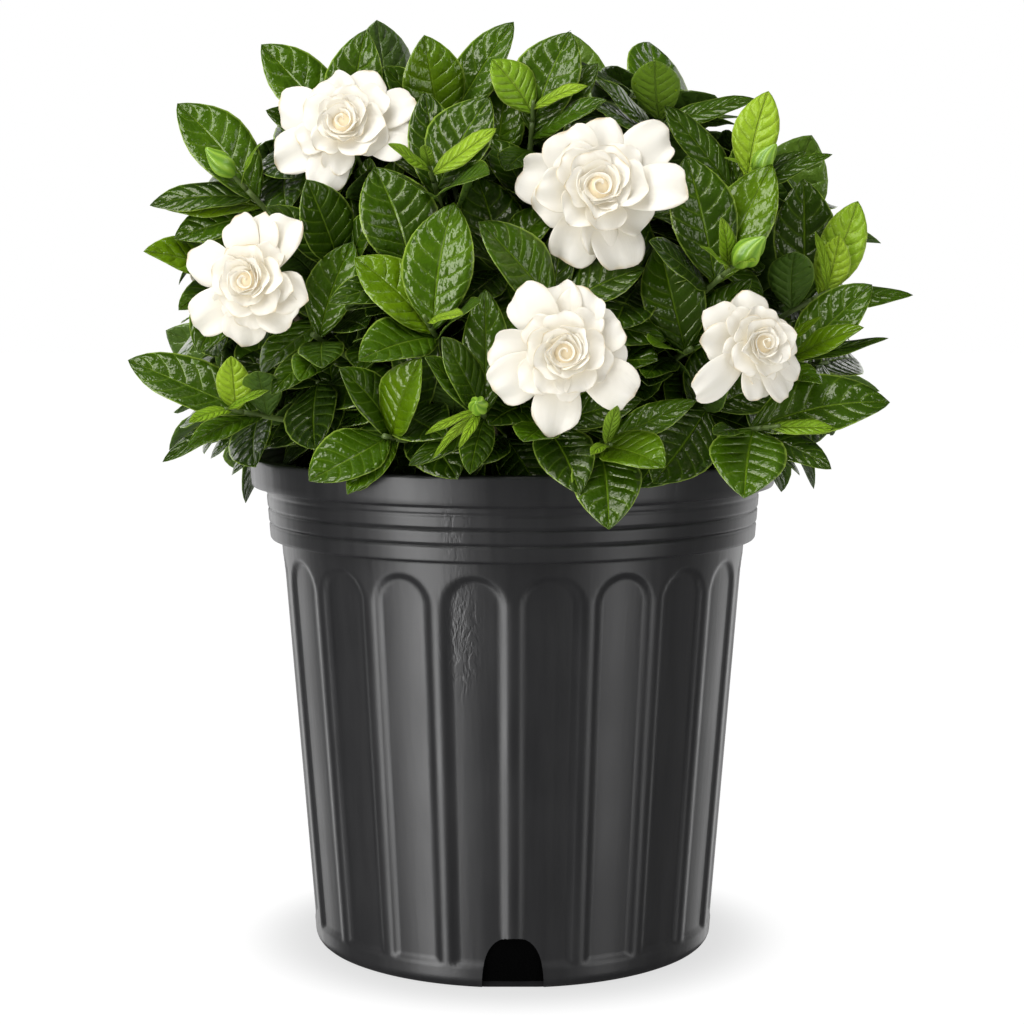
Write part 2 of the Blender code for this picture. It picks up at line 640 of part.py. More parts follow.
def grow_leaf(room, stem, base, frame, clock, seen, kind, wide=False):
    """Swing a leaf until it clears all that stands, then return its solid, or None."""
    real, ratio, droop, fold = kind
    real = max(real, seen * 1.02)
    phase = clock * 0.37 + seen
    own = stem + "_leaf"
    swings = SWINGS
    if wide:
        swings = SWINGS + [(c, s) for c in range(45, 180, 15) for s in (0, 0.2)]
        swings += [(-c, s) for c in range(45, 180, 15) for s in (0, 0.2)]
    for size in SIZES:
        for turn, pull in swings:
            span = max(min(seen + pull * real, real * 0.99), 6)
            along = leaf_direction(frame, clock + turn, span, real)
            normal = face_of(along, frame[2])
            length = real * size * MM
            shape = (base, along, normal, length, length * ratio, droop, fold)
            thick = BLADE_THICKNESS + 2 * CLEAR
            whole = blade(*shape, thick, LEAF_STATIONS, wave=BLADE_WAVE, phase=phase)
            if room.crossed(*whole, skip=(stem, own)):
                continue
            beyond_root = blade(*shape, thick, LEAF_STATIONS, root=LEAF_ROOT, wave=BLADE_WAVE, phase=phase)
            if room.crossed(*beyond_root, skip=(stem,)):
                continue
            solid = blade(*shape, BLADE_THICKNESS, LEAF_STATIONS, wave=BLADE_WAVE, phase=phase)
            room.add(own, *solid)
            return solid
    return None


def bloom_facing(azimuth, elevation):
    """Unit vector that a bloom looks along, from degrees."""
    turn = math.radians(azimuth)
    rise = math.radians(elevation)
    return polar(math.cos(rise), turn, math.sin(rise))


def bloom_parts(middle, facing, roll, radius, seed):
    """Petals of a double bloom as solids, outer ring first."""
    draw = random.Random(seed)
    right, up, outward = view_frame(facing)
    petals = []
    for count, reach, ratio, rise, droop, lift, offset in PETAL_RINGS:
        for i in range(count):
            turn = math.radians(roll + offset + 360 * i / count + draw.uniform(-5, 5))
            tilt = math.radians(rise + draw.uniform(-5, 5))
            flat = right * math.sin(turn) + up * math.cos(turn)
            along = (flat * math.cos(tilt) + outward * math.sin(tilt)).normalized()
            normal = (outward * math.cos(tilt) - flat * math.sin(tilt)).normalized()
            normal = Matrix.Rotation(math.radians(PETAL_TWIST), 3, along) @ normal
            length = radius * reach * draw.uniform(0.94, 1.04)
            root = middle + outward * (lift * radius) + flat * (PETAL_ROOT * radius)
            petals.append(blade(root, along, normal, length, radius * reach * ratio,
                                droop, PETAL_FOLD, BLADE_THICKNESS, PETAL_STATIONS, wave=PETAL_WAVE, phase=turn))
    return petals


def bud_solid(base, along, length):
    """A closed bud: a spindle with six twisted sides."""
    points = []
    radii = []
    for t, share in ((0.0, 0.10), (0.22, 0.19), (0.5, 0.26), (0.78, 0.17), (1.0, 0.03)):
        points.append(base + along * (length * t))
        radii.append(length * share)
    return tube(points, radii, 6)


def stem_plan():
    """Name, end and direction of every leafy stem: it points away from a low place inside the bush."""
    heart = Vector(HEART_OF_BUSH)
    plans = []
    for name, at, depth, mature, young in FRONT_SHOOTS:
        end = from_photo(*at, depth * MM)
        plans.append((name, end, (end - heart + UP * LIFT_OF_SHOOTS).normalized(), FRONT, mature, young))
    for name, azimuth, radius, height, young in AROUND_SHOOTS:
        end = polar(radius * MM, math.radians(azimuth), height * MM)
        away = (end - heart + UP * LIFT_OF_SHOOTS).normalized()
        crown = (away + polar(0.35, math.radians(azimuth), 0)).normalized()
        plans.append((name, end, away, crown, around_leaves(name), [(40 + 150 * i, 24) for i in range(young)]))
    return plans


def around_leaves(name):
    """Nine leaves round a shoot of the sides and back: a steep whorl, and two flatter ones further down."""
    draw = random.Random(name)
    start = draw.uniform(0, 120)
    leaves = [(start + 120 * i + draw.uniform(-14, 14), draw.uniform(28, 38)) for i in range(3)]
    leaves += [(start + 60 + 120 * i + draw.uniform(-14, 14), draw.uniform(46, 54)) for i in range(3)]
    leaves += [(start + 30 + 120 * i + draw.uniform(-14, 14), draw.uniform(52, 58)) for i in range(3)]
    return leaves


def main_limbs():
    """The trunk and its main limbs, each a list of points."""
    fork = Vector((0, 0, TRUNK_FORK))
    limbs = []
    for i in range(MAIN_LIMBS):
        azimuth = math.radians(30 + 360 * i / MAIN_LIMBS)
        end = polar(MAIN_LIMB_SPREAD, azimuth, MAIN_LIMB_TOP)
        limbs.append(bezier(fork - UP * 4 * MM, polar(26 * MM, azimuth, TRUNK_FORK + 14 * MM), end, 4))
    limbs.append([fork - UP * 4 * MM, Vector((3 * MM, 4 * MM, 320 * MM)), Vector((-2 * MM, 8 * MM, 388 * MM))])
    return limbs


def route_to(stem_base, stem_away, limbs, room, name):
    """A side limb from a main limb to the foot of a leafy stem, by the first way that crosses no stem."""
    starts = sorted(((p - stem_base).length + 2.0 * max(0.0, p.z - stem_base.z), n, i)
                    for n, limb in enumerate(limbs) for i, p in enumerate(limb) if i)
    for _, n, i in starts[:9]:
        start = limbs[n][i].lerp(limbs[n][i - 1], 0.12)
        for pull in SIDE_LIMB_PULLS:
            knee = stem_base - stem_away * max(5 * MM, (stem_base - start).length * pull)
            points = [start, knee, stem_base]
            solid = tube(points, SIDE_LIMB_RADII, STEM_SIDES)
            thick = tube(points, [SIDE_LIMB_ROOM] * 3, STEM_SIDES)
            if room.crossed(*thick, skip=(name + "_stem",)) is None:
                return solid
    print("no free way to", name)
    return solid


def solid_of(thing):
    return [v.co for v in thing.data.vertices], [p.vertices[:] for p in thing.data.polygons]


def lay_stem(name, end, away, bloom_of):
    """Points of a leafy stem, and of the stalk on it where it carries a bloom."""
    start = end - away * STEM_LENGTH
    if name not in bloom_of:
        return [start, end]
    _, centre, azimuth, elevation, _, radius = bloom_of[name]
    facing = bloom_facing(azimuth, elevation)
    neck = Vector(centre) * MM - facing * (radius * BLOOM_NECK * MM)
    return [start, end, neck - facing * 4 * MM, neck]


def make_woody(material, plans, stems, room):
    """Trunk, main limbs and side limbs as one solid."""
    limbs = main_limbs()
    trunk_points = [Vector((0, 0, SOIL_TOP - TRUNK_DEPTH + GAP)), Vector((0, 0, TRUNK_FORK))]
    woody = make_object("woody_stems", *tube(trunk_points, [TRUNK_RADIUS] * 2, TRUNK_SIDES), material)
    pieces = []
    for points in limbs:
        fall = (LIMB_BASE_RADIUS - LIMB_TOP_RADIUS) / (len(points) - 1)
        pieces.append(tube(points, [LIMB_BASE_RADIUS - fall * i for i in range(len(points))], LIMB_SIDES))
    for name, *_ in plans:
        points = stems[name][0]
        first = (points[1] - points[0]).normalized()
        pieces.append(route_to(points[0] - first * GAP, first, limbs, room, name))
    return union_all(woody, pieces)


def make_bloom(material, number, spec):
    """A double bloom: its throat with the rolled heart, and its rings of petals."""
    _, centre, azimuth, elevation, roll, radius = spec
    facing = bloom_facing(azimuth, elevation)
    middle = Vector(centre) * MM
    size = radius * MM
    neck = middle - facing * (size * BLOOM_NECK - GAP)
    throat = tube([neck] + [middle + facing * (lift * size) for lift, _ in HEART],
                  [STEM_RADIUS] + [share * size for _, share in HEART], 5)
    bloom = make_object("bloom_%02d" % number, *throat, material)
    return union_all(bloom, bloom_parts(middle, facing, roll, size, number))


def build():
    clear_scene()
    black = make_material("black_plastic", BLACK_PLASTIC, 0.5)
    brown = make_material("soil", SOIL_BROWN, 0.95)
    bark = make_material("bark", BARK, 0.85)
    green = make_material("leaf_green", GREEN, 0.3)
    lime = make_material("young_green", YOUNG_GREEN, 0.35)
    cream = make_material("petal_cream", CREAM, 0.55)

    room = Room()
    room.add("pot", *solid_of(make_pot(black)))
    room.add("soil", *solid_of(make_soil(brown)))

    plans = stem_plan()
    bloom_of = {spec[0]: spec for spec in BLOOMS}
    stems = {}
    for name, end, away, outward, mature, young in plans:
        points = lay_stem(name, end, away, bloom_of)
        solid = tube(points, [STEM_RADIUS] * len(points), STEM_SIDES)
        room.add(name + "_stem", *solid)
        stems[name] = (points, solid)
    room.add("woody", *solid_of(make_woody(bark, plans, stems, room)))
    for number, spec in enumerate(BLOOMS, 1):
        room.add("bloom_" + spec[0], *solid_of(make_bloom(cream, number, spec)))

    dropped = 0
    young_tips = []
    for name, end, away, outward, mature, young in plans:
        if not young:
            continue
        frame = view_frame(outward)
        tip_base = stems[name][0][-1] + away * GAP
        tip_end = tip_base + away * TIP_LENGTH
        tip_tube = tube([tip_base, tip_end], [STEM_RADIUS * 0.9, STEM_RADIUS * 0.7], 5)
        pieces = []
        if name in BUDS:
            pieces.append(bud_solid(tip_end - away * 2 * MM, away, BUDS[name] * MM))
            room.add(name + "_tip", *pieces[0])
        for number, spec in enumerate(young):
            base = tip_base + away * (TIP_FIRST_LEAF + TIP_LEAF_STEP * (number % 3))
            if outward is FRONT:
                clock, seen, kind = seen_leaf(base, frame, spec, YOUNG[0], *YOUNG[2:])
            else:
                (clock, seen), kind = spec, YOUNG
            solid = grow_leaf(room, name + "_tip", base, frame, clock, seen, kind)
            if solid is None:
                dropped += 1
            else:
                pieces.append(solid)
        young_tips.append((tip_tube, pieces))
        room.add(name + "_tip", *tip_tube)
    leaves_of = {plan[0]: [] for plan in plans}
    for leaf in range(max(len(plan[4]) for plan in plans)):
        for name, end, away, outward, mature, young in plans:
            if leaf >= len(mature):
                continue
            frame = view_frame(outward)
            base = end - away * (FIRST_LEAF + LEAF_STEP * leaf)
            if outward is FRONT:
                clock, seen, kind = seen_leaf(base, frame, mature[leaf], MATURE[0], *MATURE[2:])
            else:
                (clock, seen), kind = mature[leaf], SIDE
            solid = grow_leaf(room, name + "_stem", base, frame, clock, seen, kind, outward is not FRONT)
            if solid is None:
                dropped += 1
            else:
                leaves_of[name].append(solid)
    for number, plan in enumerate(plans, 1):
        union_all(make_object("leafy_stem_%02d" % number, *stems[plan[0]][1], green), leaves_of[plan[0]])
    for number, (tip_tube, pieces) in enumerate(young_tips, 1):
        union_all(make_object("young_tip_%02d" % number, *tip_tube, lime), pieces)
    print("leaves with no free place:", dropped)


build()
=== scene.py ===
# Potted gardenia: pot, potting mix, branches, leafy shoots, young tips, buds and double blooms.
# Metres, +Z up, -Y is the side that the photograph shows.
import math
import random

import bmesh
import bpy
import numpy as np
from mathutils import Matrix, Vector
from mathutils.bvhtree import BVHTree
from mathutils.kdtree import KDTree


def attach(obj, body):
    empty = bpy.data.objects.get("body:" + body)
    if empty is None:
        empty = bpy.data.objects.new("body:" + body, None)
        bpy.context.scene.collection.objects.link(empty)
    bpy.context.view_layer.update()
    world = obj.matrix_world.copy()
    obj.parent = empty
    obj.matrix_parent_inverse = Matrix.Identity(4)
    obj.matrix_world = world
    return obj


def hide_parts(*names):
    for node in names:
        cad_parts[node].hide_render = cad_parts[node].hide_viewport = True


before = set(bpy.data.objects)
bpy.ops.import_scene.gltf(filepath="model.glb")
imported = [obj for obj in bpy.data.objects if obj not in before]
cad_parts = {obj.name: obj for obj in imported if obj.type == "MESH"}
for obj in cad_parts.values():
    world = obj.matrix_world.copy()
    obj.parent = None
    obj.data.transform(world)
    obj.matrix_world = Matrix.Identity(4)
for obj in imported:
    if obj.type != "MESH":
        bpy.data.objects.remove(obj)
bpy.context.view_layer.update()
mm = 0.001
skyward = Vector((0, 0, 1))
print("frame loaded:", len(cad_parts), "nodes")


# meshes from grids

def gridQuads(rows, columns):
    # quads (i, j), (i, j+1), (i+1, j+1), (i+1, j) of a grid whose points are numbered row by row
    i, j = np.meshgrid(np.arange(rows - 1), np.arange(columns - 1), indexing="ij")
    corner = (i * columns + j).ravel()
    return np.stack([corner, corner + 1, corner + columns + 1, corner + columns], axis=1)


def sheetQuads(rows, columns):
    # a thin solid from two grids, the first facing up, the second under it, with a rim between them
    count = rows * columns
    top = gridQuads(rows, columns)
    loop = list(range(columns))
    loop += [i * columns + columns - 1 for i in range(1, rows)]
    loop += [(rows - 1) * columns + j for j in reversed(range(columns - 1))]
    loop += [i * columns for i in reversed(range(1, rows - 1))]
    here = np.array(loop)
    ahead = np.roll(here, -1)
    rim = np.stack([ahead, here, here + count, ahead + count], axis=1)
    return np.concatenate([top, top[:, ::-1] + count, rim])


def repeatQuads(quads, pointsEach, times):
    # the same quads for each of several equal shapes, numbered on
    return (quads[None] + np.arange(times)[:, None, None] * pointsEach).reshape(-1, 4)


def surface(spots, quads, u=0.0, v=0.0, tone=0.5, under=0.0, slot=0):
    # one part of a piece: its points in an array of any shape, its quads, the map's u and v, tone and under
    # for each point, and the number of its material in the piece
    shape = spots.shape[:-1]
    u, v, tone, under = (np.broadcast_to(value, shape).reshape(-1) for value in (u, v, tone, under))
    return {"points": spots.reshape(-1, 3), "quads": quads, "uv": np.stack([u, v], axis=1),
            "tone": tone, "under": under, "slot": slot}


def addObject(name, data):
    thing = bpy.data.objects.new(name, data)
    bpy.context.scene.collection.objects.link(thing)
    return thing


def makePiece(name, parts, materials, sharpDegrees=None):
    # one mesh from several parts, with doubled points merged
    quads, slots = [], []
    first = 0
    for part in parts:
        quads.append(part["quads"] + first)
        slots.append(np.full(len(part["quads"]), part["slot"], dtype=np.int32))
        first += len(part["points"])
    quads = np.concatenate(quads)
    points, uv, tone, under = (np.concatenate([part[key] for part in parts])
                               for key in ("points", "uv", "tone", "under"))
    mesh = bpy.data.meshes.new(name)
    mesh.from_pydata(points.tolist(), [], quads.tolist())
    layer = mesh.uv_layers.new(name="leafMap")
    layer.data.foreach_set("uv", uv[quads.ravel()].astype(np.float32).ravel())
    for label, values in (("tone", tone), ("under", under)):
        layer = mesh.attributes.new(label, "FLOAT", "POINT")
        layer.data.foreach_set("value", values.astype(np.float32))
    for material in materials:
        mesh.materials.append(material)
    mesh.polygons.foreach_set("material_index", np.concatenate(slots))
    shell = bmesh.new()
    shell.from_mesh(mesh)
    bmesh.ops.remove_doubles(shell, verts=shell.verts, dist=2e-6)
    shell.to_mesh(mesh)
    shell.free()
    mesh.shade_smooth()
    if sharpDegrees is not None:
        mesh.set_sharp_from_angle(angle=math.radians(sharpDegrees))
    return addObject(name, mesh)


def settle(piece, slotName, *nodes):
    # hand a finished piece to the frame
    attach(piece, "root")
    if nodes:
        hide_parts(*nodes)


def unit(vectors):
    # each vector divided by its own length
    return vectors / np.maximum(np.linalg.norm(vectors, axis=-1, keepdims=True), 1e-12)


def polar(radius, degrees, z):
    # angle 0 is the front, -Y, and it grows towards +X
    turn = math.radians(degrees)
    return Vector((radius * math.sin(turn), -radius * math.cos(turn), z))


def spokes(right, above, turn):
    # the way out from an axis at each angle, from the way at no turn and the way at a quarter turn
    return right * np.cos(turn)[..., None] + above * np.sin(turn)[..., None]


def tubePart(points, radii, sides, slot=0, tone=0.5, wobble=0.0, rings=None):
    # a circle of each radius square to the path, carried along it and closed by a point at both ends; the
    # wobble swells it in three lobes that turn as the path goes on
    path = np.array([tuple(p) for p in points], dtype=float)
    radii = np.array(radii, dtype=float)
    if rings:
        old = np.linspace(0, 1, len(path))
        new = np.linspace(0, 1, rings)
        path = np.stack([np.interp(new, old, path[:, k]) for k in range(3)], axis=1)
        radii = np.interp(new, old, radii)
    path = np.concatenate([path[:1], path, path[-1:]])
    radii = np.concatenate([[0], radii, [0]])
    ahead = unit(np.gradient(path, axis=0) + 1e-9)
    ahead[0], ahead[-1] = ahead[1], ahead[-2]
    whole = unit(path[-1] - path[0])
    aside = np.array([0.0, 0.0, 1.0]) if abs(whole[2]) < 0.8 else np.array([1.0, 0.0, 0.0])
    side = unit(np.cross(ahead, aside))
    other = np.cross(side, ahead)
    turn = np.linspace(0, math.tau, sides + 1)
    swell = 1 + wobble * np.sin(3 * turn + np.arange(len(path))[:, None] * 0.9) * (radii[:, None] > 0)
    swell[:, -1] = swell[:, 0]
    spot = path[:, None] + (radii[:, None] * swell)[..., None] * spokes(side[:, None], other[:, None], turn)
    along = np.linspace(0, 1, len(path))[:, None]
    return surface(spot, gridQuads(len(path), sides + 1)[:, ::-1], along, turn / math.tau, tone, slot=slot)


# materials

def plug(tree, inputs, values):
    # each number, colour, socket or wire goes to the input of its name or number
    for key, value in values.items():
        if isinstance(value, Wire):
            value = value.socket
        if isinstance(value, bpy.types.NodeSocket):
            tree.links.new(value, inputs[key])
        else:
            inputs[key].default_value = value


def addNode(tree, kind, values=None, **settings):
    node = tree.nodes.new(kind)
    for key, value in settings.items():
        setattr(node, key, value)
    plug(tree, node.inputs, values or {})
    return node


class Wire:
    # an output in a node tree; arithmetic on it adds Math nodes

    def __init__(self, tree, socket):
        self.tree = tree
        self.socket = socket

    def join(self, operation, *values):
        node = addNode(self.tree, "ShaderNodeMath", dict(enumerate(values)), operation=operation)
        return Wire(self.tree, node.outputs[0])

    def __add__(self, other):
        return self.join("ADD", self, other)

    def __sub__(self, other):
        return self.join("SUBTRACT", self, other)

    def __rsub__(self, other):
        return self.join("SUBTRACT", other, self)

    def __mul__(self, other):
        return self.join("MULTIPLY", self, other)

    def __pow__(self, other):
        return self.join("POWER", self, other)

    def __abs__(self):
        return self.join("ABSOLUTE", self)

    def sine(self):
        return self.join("SINE", self)

    def cosine(self):
        return self.join("COSINE", self)

    def clamped(self):
        # the same number, held between 0 and 1
        self.socket.node.use_clamp = True
        return self


class Finish:
    # a material with its node tree and the few calls that the finishes below are made of

    def __init__(self, name):
        self.material = bpy.data.materials.new(name)
        self.material.use_nodes = True
        self.tree = self.material.node_tree
        self.shader = self.tree.nodes["Principled BSDF"]

    def add(self, kind, values=None, output=0, **settings):
        return Wire(self.tree, addNode(self.tree, kind, values, **settings).outputs[output])

    def place(self, scale=(1, 1, 1), location=(0, 0, 0)):
        # Object coordinates in metres, scaled and then moved
        spot = self.add("ShaderNodeTexCoord", output="Object")
        return self.add("ShaderNodeMapping", {"Vector": spot, "Scale": scale, "Location": location})

    def axis(self, where, number):
        return self.add("ShaderNodeSeparateXYZ", {0: where}, number)

    def length(self, where):
        return self.add("ShaderNodeVectorMath", {0: where}, "Value", operation="LENGTH")

    def ownMap(self):
        return self.add("ShaderNodeUVMap", uv_map="leafMap")

    def attribute(self, name):
        return self.add("ShaderNodeAttribute", output="Fac", attribute_name=name)

    def noise(self, where, scale, detail=3.0, roughness=0.5):
        values = {"Vector": where, "Scale": scale, "Detail": detail, "Roughness": roughness}
        return self.add("ShaderNodeTexNoise", values, "Fac")

    def between(self, wire, ends, results, **settings):
        # as the wire goes from the first end to the second, this goes from the first result to the second
        return self.add("ShaderNodeMapRange", dict(enumerate((wire, *ends, *results))), **settings)

    def blend(self, share, a, b):
        # a mix of two colours, each of them three numbers or a wire
        a, b = (colour if isinstance(colour, Wire) else (*colour, 1) for colour in (a, b))
        return self.add("ShaderNodeMix", {0: share, 6: a, 7: b}, 2, data_type="RGBA")

    def bump(self, height, distance, strength=1.0):
        values = {"Height": height, "Distance": distance, "Strength": strength}
        normal = self.add("ShaderNodeBump", values)
        self.set({"Normal": normal, "Coat Normal": normal})

    def set(self, values):
        plug(self.tree, self.shader.inputs, values)


leafLook = {
    "mature": {"dark": (0.011, 0.030, 0.001), "mid": (0.043, 0.103, 0.001), "bright": (0.175, 0.305, 0.003),
               "vein": (0.215, 0.370, 0.020), "rim": (0.310, 0.450, 0.060), "under": (0.090, 0.170, 0.030),
               "roughness": 0.30, "coat": 0.48},
    "young": {"dark": (0.080, 0.170, 0.008), "mid": (0.190, 0.340, 0.014), "bright": (0.330, 0.480, 0.025),
              "vein": (0.340, 0.470, 0.060), "rim": (0.380, 0.500, 0.090), "under": (0.170, 0.280, 0.030),
              "roughness": 0.34, "coat": 0.10},
    # veins on each side, how far forward they run and how they arch
    "veins": 7.5, "slant": 1.5, "arch": 1.25,
    # relief in metres, and what shares in it beside the swelling between the veins
    "relief": 0.00080, "ribDepth": 0.9, "mottleDepth": 0.8, "grainDepth": 0.096, "puckerDepth": 1.35,
    "mottle": 55.0, "grain": 700.0, "pucker": 240.0,
    # how strongly each part shows its own colour, where the rim starts on the way out from the midrib, and
    # how the mottle and the underside change the roughness
    "glossMottle": 0.22, "underRougher": 0.16,
    "veinShare": 0.32, "ribShare": 0.65, "rimShare": 0.8, "underShare": 0.5, "rimFrom": 0.935,
    "sheen": 0.25, "sheenTint": (0.98, 1.0, 0.50, 1), "coatRoughness": 0.075,
}


def leafMaterial(name, look):
    # veins run where along * veins - away^arch * slant is whole, with the blade swelling between them;
    # tone moves the colour from dark to bright
    finish = Finish(name)
    form = leafLook
    uv = finish.ownMap()
    along = finish.axis(uv, 0)
    away = abs(finish.axis(uv, 1) * 2.0 - 1.0)
    turn = along * form["veins"] - away ** form["arch"] * form["slant"]
    swell = abs((turn * math.pi).sine())
    vein = (1.0 - swell) ** 5.0
    rib = (1.0 - away * 20.0).clamped()
    inner = (away * 5.0).clamped()
    outer = (1.0 - away ** 4.0).clamped()
    place = finish.place()
    mottle = finish.noise(place, form["mottle"])
    grain = finish.noise(place, form["grain"], 2.0)
    pucker = finish.noise(place, form["pucker"], 2.0)
    height = swell ** 0.6 * inner * outer - rib * form["ribDepth"]
    height = height + mottle * form["mottleDepth"] + grain * form["grainDepth"] + pucker * form["puckerDepth"]
    tone = (finish.attribute("tone") + (mottle * 0.5 - 0.25)).clamped()
    colour = finish.blend((tone * 2.0).clamped(), look["dark"], look["mid"])
    colour = finish.blend((tone * 2.0 - 1.0).clamped(), colour, look["bright"])
    colour = finish.blend(vein * inner * form["veinShare"], colour, look["vein"])
    colour = finish.blend(rib * form["ribShare"], colour, look["vein"])
    edge = ((away - form["rimFrom"]).clamped() * 20.0).clamped()
    colour = finish.blend(edge * form["rimShare"], colour, look["rim"])
    under = finish.attribute("under")
    colour = finish.blend(under * form["underShare"], colour, look["under"])
    gloss = (mottle - 0.5) * form["glossMottle"] + look["roughness"] + under * form["underRougher"]
    finish.set({"Base Color": colour, "Roughness": gloss, "Specular IOR Level": form["sheen"],
                "Specular Tint": form["sheenTint"], "Coat Weight": look["coat"],
                "Coat Roughness": form["coatRoughness"]})
    finish.bump(height, form["relief"])
    return finish.material


petalLook = {
    "white": (0.755, 0.722, 0.640), "cream": (0.755, 0.692, 0.545), "deep": (0.700, 0.530, 0.270),
    "edge": (0.560, 0.420, 0.190), "edgeShare": 0.85, "roughness": 0.60,
    # light that comes through the petal: share and reach in metres; then the colour and strength of a painted
    # glow that stands in for the rest of it and lightens the petals' shade
    "glow": 0.15, "reach": (0.0030, 0.0026, 0.0018), "through": (1.0, 0.93, 0.76, 1), "lit": 0.095,
    "fan": (2.0, 26.0, 1.0), "cloud": 90.0, "veinDepth": 0.35, "relief": 0.0003, "reliefShare": 0.6,
}


def petalMaterial():
    # white away from the throat, cream towards it, faint veins along the petal, a tanned rim in patches, and a
    # painted glow over all
    finish = Finish("gardeniaPetal")
    look = petalLook
    tone = finish.attribute("tone")
    colour = finish.blend((tone * 2.2).clamped(), look["deep"], look["cream"])
    colour = finish.blend((tone * 2.0 - 0.7).clamped(), colour, look["white"])
    fan = finish.add("ShaderNodeMapping", {"Vector": finish.ownMap(), "Scale": look["fan"]})
    veins = finish.noise(fan, 1.0, 2.0)
    cloud = finish.noise(finish.place(), look["cloud"], 2.0)
    rim = finish.attribute("under") * (cloud * 4.0 - 1.5).clamped()
    colour = finish.blend(rim * look["edgeShare"], colour, look["edge"])
    # the emission is painted light: a glow that lifts the petals' shade
    finish.set({"Base Color": colour, "Roughness": look["roughness"], "Subsurface Weight": look["glow"],
                "Subsurface Radius": look["reach"], "Subsurface Scale": 1.0,
                "Emission Color": look["through"], "Emission Strength": look["lit"]})
    finish.bump(veins * look["veinDepth"] + cloud, look["relief"], look["reliefShare"])
    return finish.material


plasticLook = {
    "colour": (0.013, 0.013, 0.014), "scuffed": (0.024, 0.024, 0.025), "roughness": 0.38, "relief": 0.0006,
    "drag": (160, 160, 5), "grain": 420.0, "cloud": 18.0,
    "dragDepth": 0.16, "grainDepth": 0.05, "cloudGloss": 0.16, "dragGloss": 0.10,
    # creases: middle, width and height of each patch in metres, stretch of the folds, and their depth
    "creases": ((-0.026, -0.119, 0.180, 0.013, 0.040), (-0.029, -0.131, 0.232, 0.011, 0.022)),
    "folds": (150, 150, 62), "foldDepth": 0.30,
    # the notches have hardly any sheen, which paints shade into them: they lie below this height and nearer to
    # the axis than the wall
    "sheen": 0.5, "shadeSheenLost": 0.46, "notchTop": 0.0300, "notchRadius": 0.1052, "sharpness": 500.0,
}


def plasticMaterial():
    # moulded plastic: fine vertical drag marks, faint mottle, and creases near two places of the wall, where
    # |noise - 0.5| is large; the notches lose their sheen as painted shade
    finish = Finish("potPlastic")
    look = plasticLook
    place = finish.place()
    drag = finish.noise(finish.place(look["drag"]), 1.0)
    cloud = finish.noise(place, look["cloud"])
    grain = finish.noise(place, look["grain"], 2.0)
    height = drag * look["dragDepth"] + grain * look["grainDepth"]
    fold = finish.noise(finish.place(look["folds"]), 1.0, 3.0, 0.6)
    fold = (abs(fold - 0.5) * 11.0).clamped()
    for x, y, z, wide, tall in look["creases"]:
        near = finish.place((1 / wide, 1 / wide, 1 / tall), (-x / wide, -y / wide, -z / tall))
        height = height + fold * (1.0 - finish.length(near)).clamped() * look["foldDepth"]
    # painted shade: the sheen falls away below notchTop and inside notchRadius, in the notches
    low = ((look["notchTop"] - finish.axis(place, 2)) * look["sharpness"]).clamped()
    deep = ((look["notchRadius"] - finish.length(finish.place((1, 1, 0)))) * look["sharpness"]).clamped()
    scuffs = cloud * (drag * 1.6 - 0.4).clamped()
    gloss = (cloud - 0.5) * look["cloudGloss"] + look["roughness"] + (drag - 0.5) * look["dragGloss"]
    finish.set({"Base Color": finish.blend(scuffs, look["colour"], look["scuffed"]), "Roughness": gloss,
                "Specular IOR Level": look["sheen"] - low * deep * look["shadeSheenLost"]})
    finish.bump(height, look["relief"])
    return finish.material


# the last key is the height in metres where the painted shade on the mix starts to fade, and the one where it
# is gone
soilLook = {"dark": (0.010, 0.006, 0.004), "crumb": (0.075, 0.045, 0.025), "patch": (0.030, 0.018, 0.010),
            "paintedShade": (0.002, 0.002, 0.002), "sheen": 0.4, "roughness": 0.92, "relief": 0.003,
            "crumbs": 260.0, "patches": 40.0, "patchShare": 0.5, "paintedShadeUpTo": (0.03, 0.20)}


def soilMaterial():
    # crumbs in patches, and painted shade that darkens the mix and takes away its sheen towards the bottom, in
    # the notches and down the wall
    finish = Finish("pottingMix")
    look = soilLook
    place = finish.place()
    crumbs = finish.noise(place, look["crumbs"], 5.0, 0.7)
    colour = finish.blend(crumbs, look["dark"], look["crumb"])
    patches = finish.noise(place, look["patches"], 2.0)
    colour = finish.blend(patches * look["patchShare"], colour, look["patch"])
    # painted shade: the mix is near black and has no sheen low down, where the notches are
    paintedShade = finish.between(finish.axis(place, 2), look["paintedShadeUpTo"], (1.0, 0.0))
    finish.set({"Base Color": finish.blend(paintedShade, colour, look["paintedShade"]), "Roughness": look["roughness"],
                "Specular IOR Level": look["sheen"] - paintedShade * look["sheen"]})
    finish.bump(crumbs, look["relief"])
    return finish.material


# streaks are their stretch upwards, scale, detail and roughness
barkLook = {"streaks": (0.25, 480.0, 4.0, 0.65), "low": (0.035, 0.022, 0.012), "high": (0.190, 0.130, 0.075),
            "patch": (0.110, 0.105, 0.070), "patches": 90.0, "patchShare": 0.5,
            "roughness": 0.85, "relief": 0.0012}
stemLook = {"streaks": (0.30, 300.0, 3.0, 0.50), "low": (0.050, 0.095, 0.018), "high": (0.150, 0.210, 0.045),
            "roughness": 0.50, "relief": 0.0004}


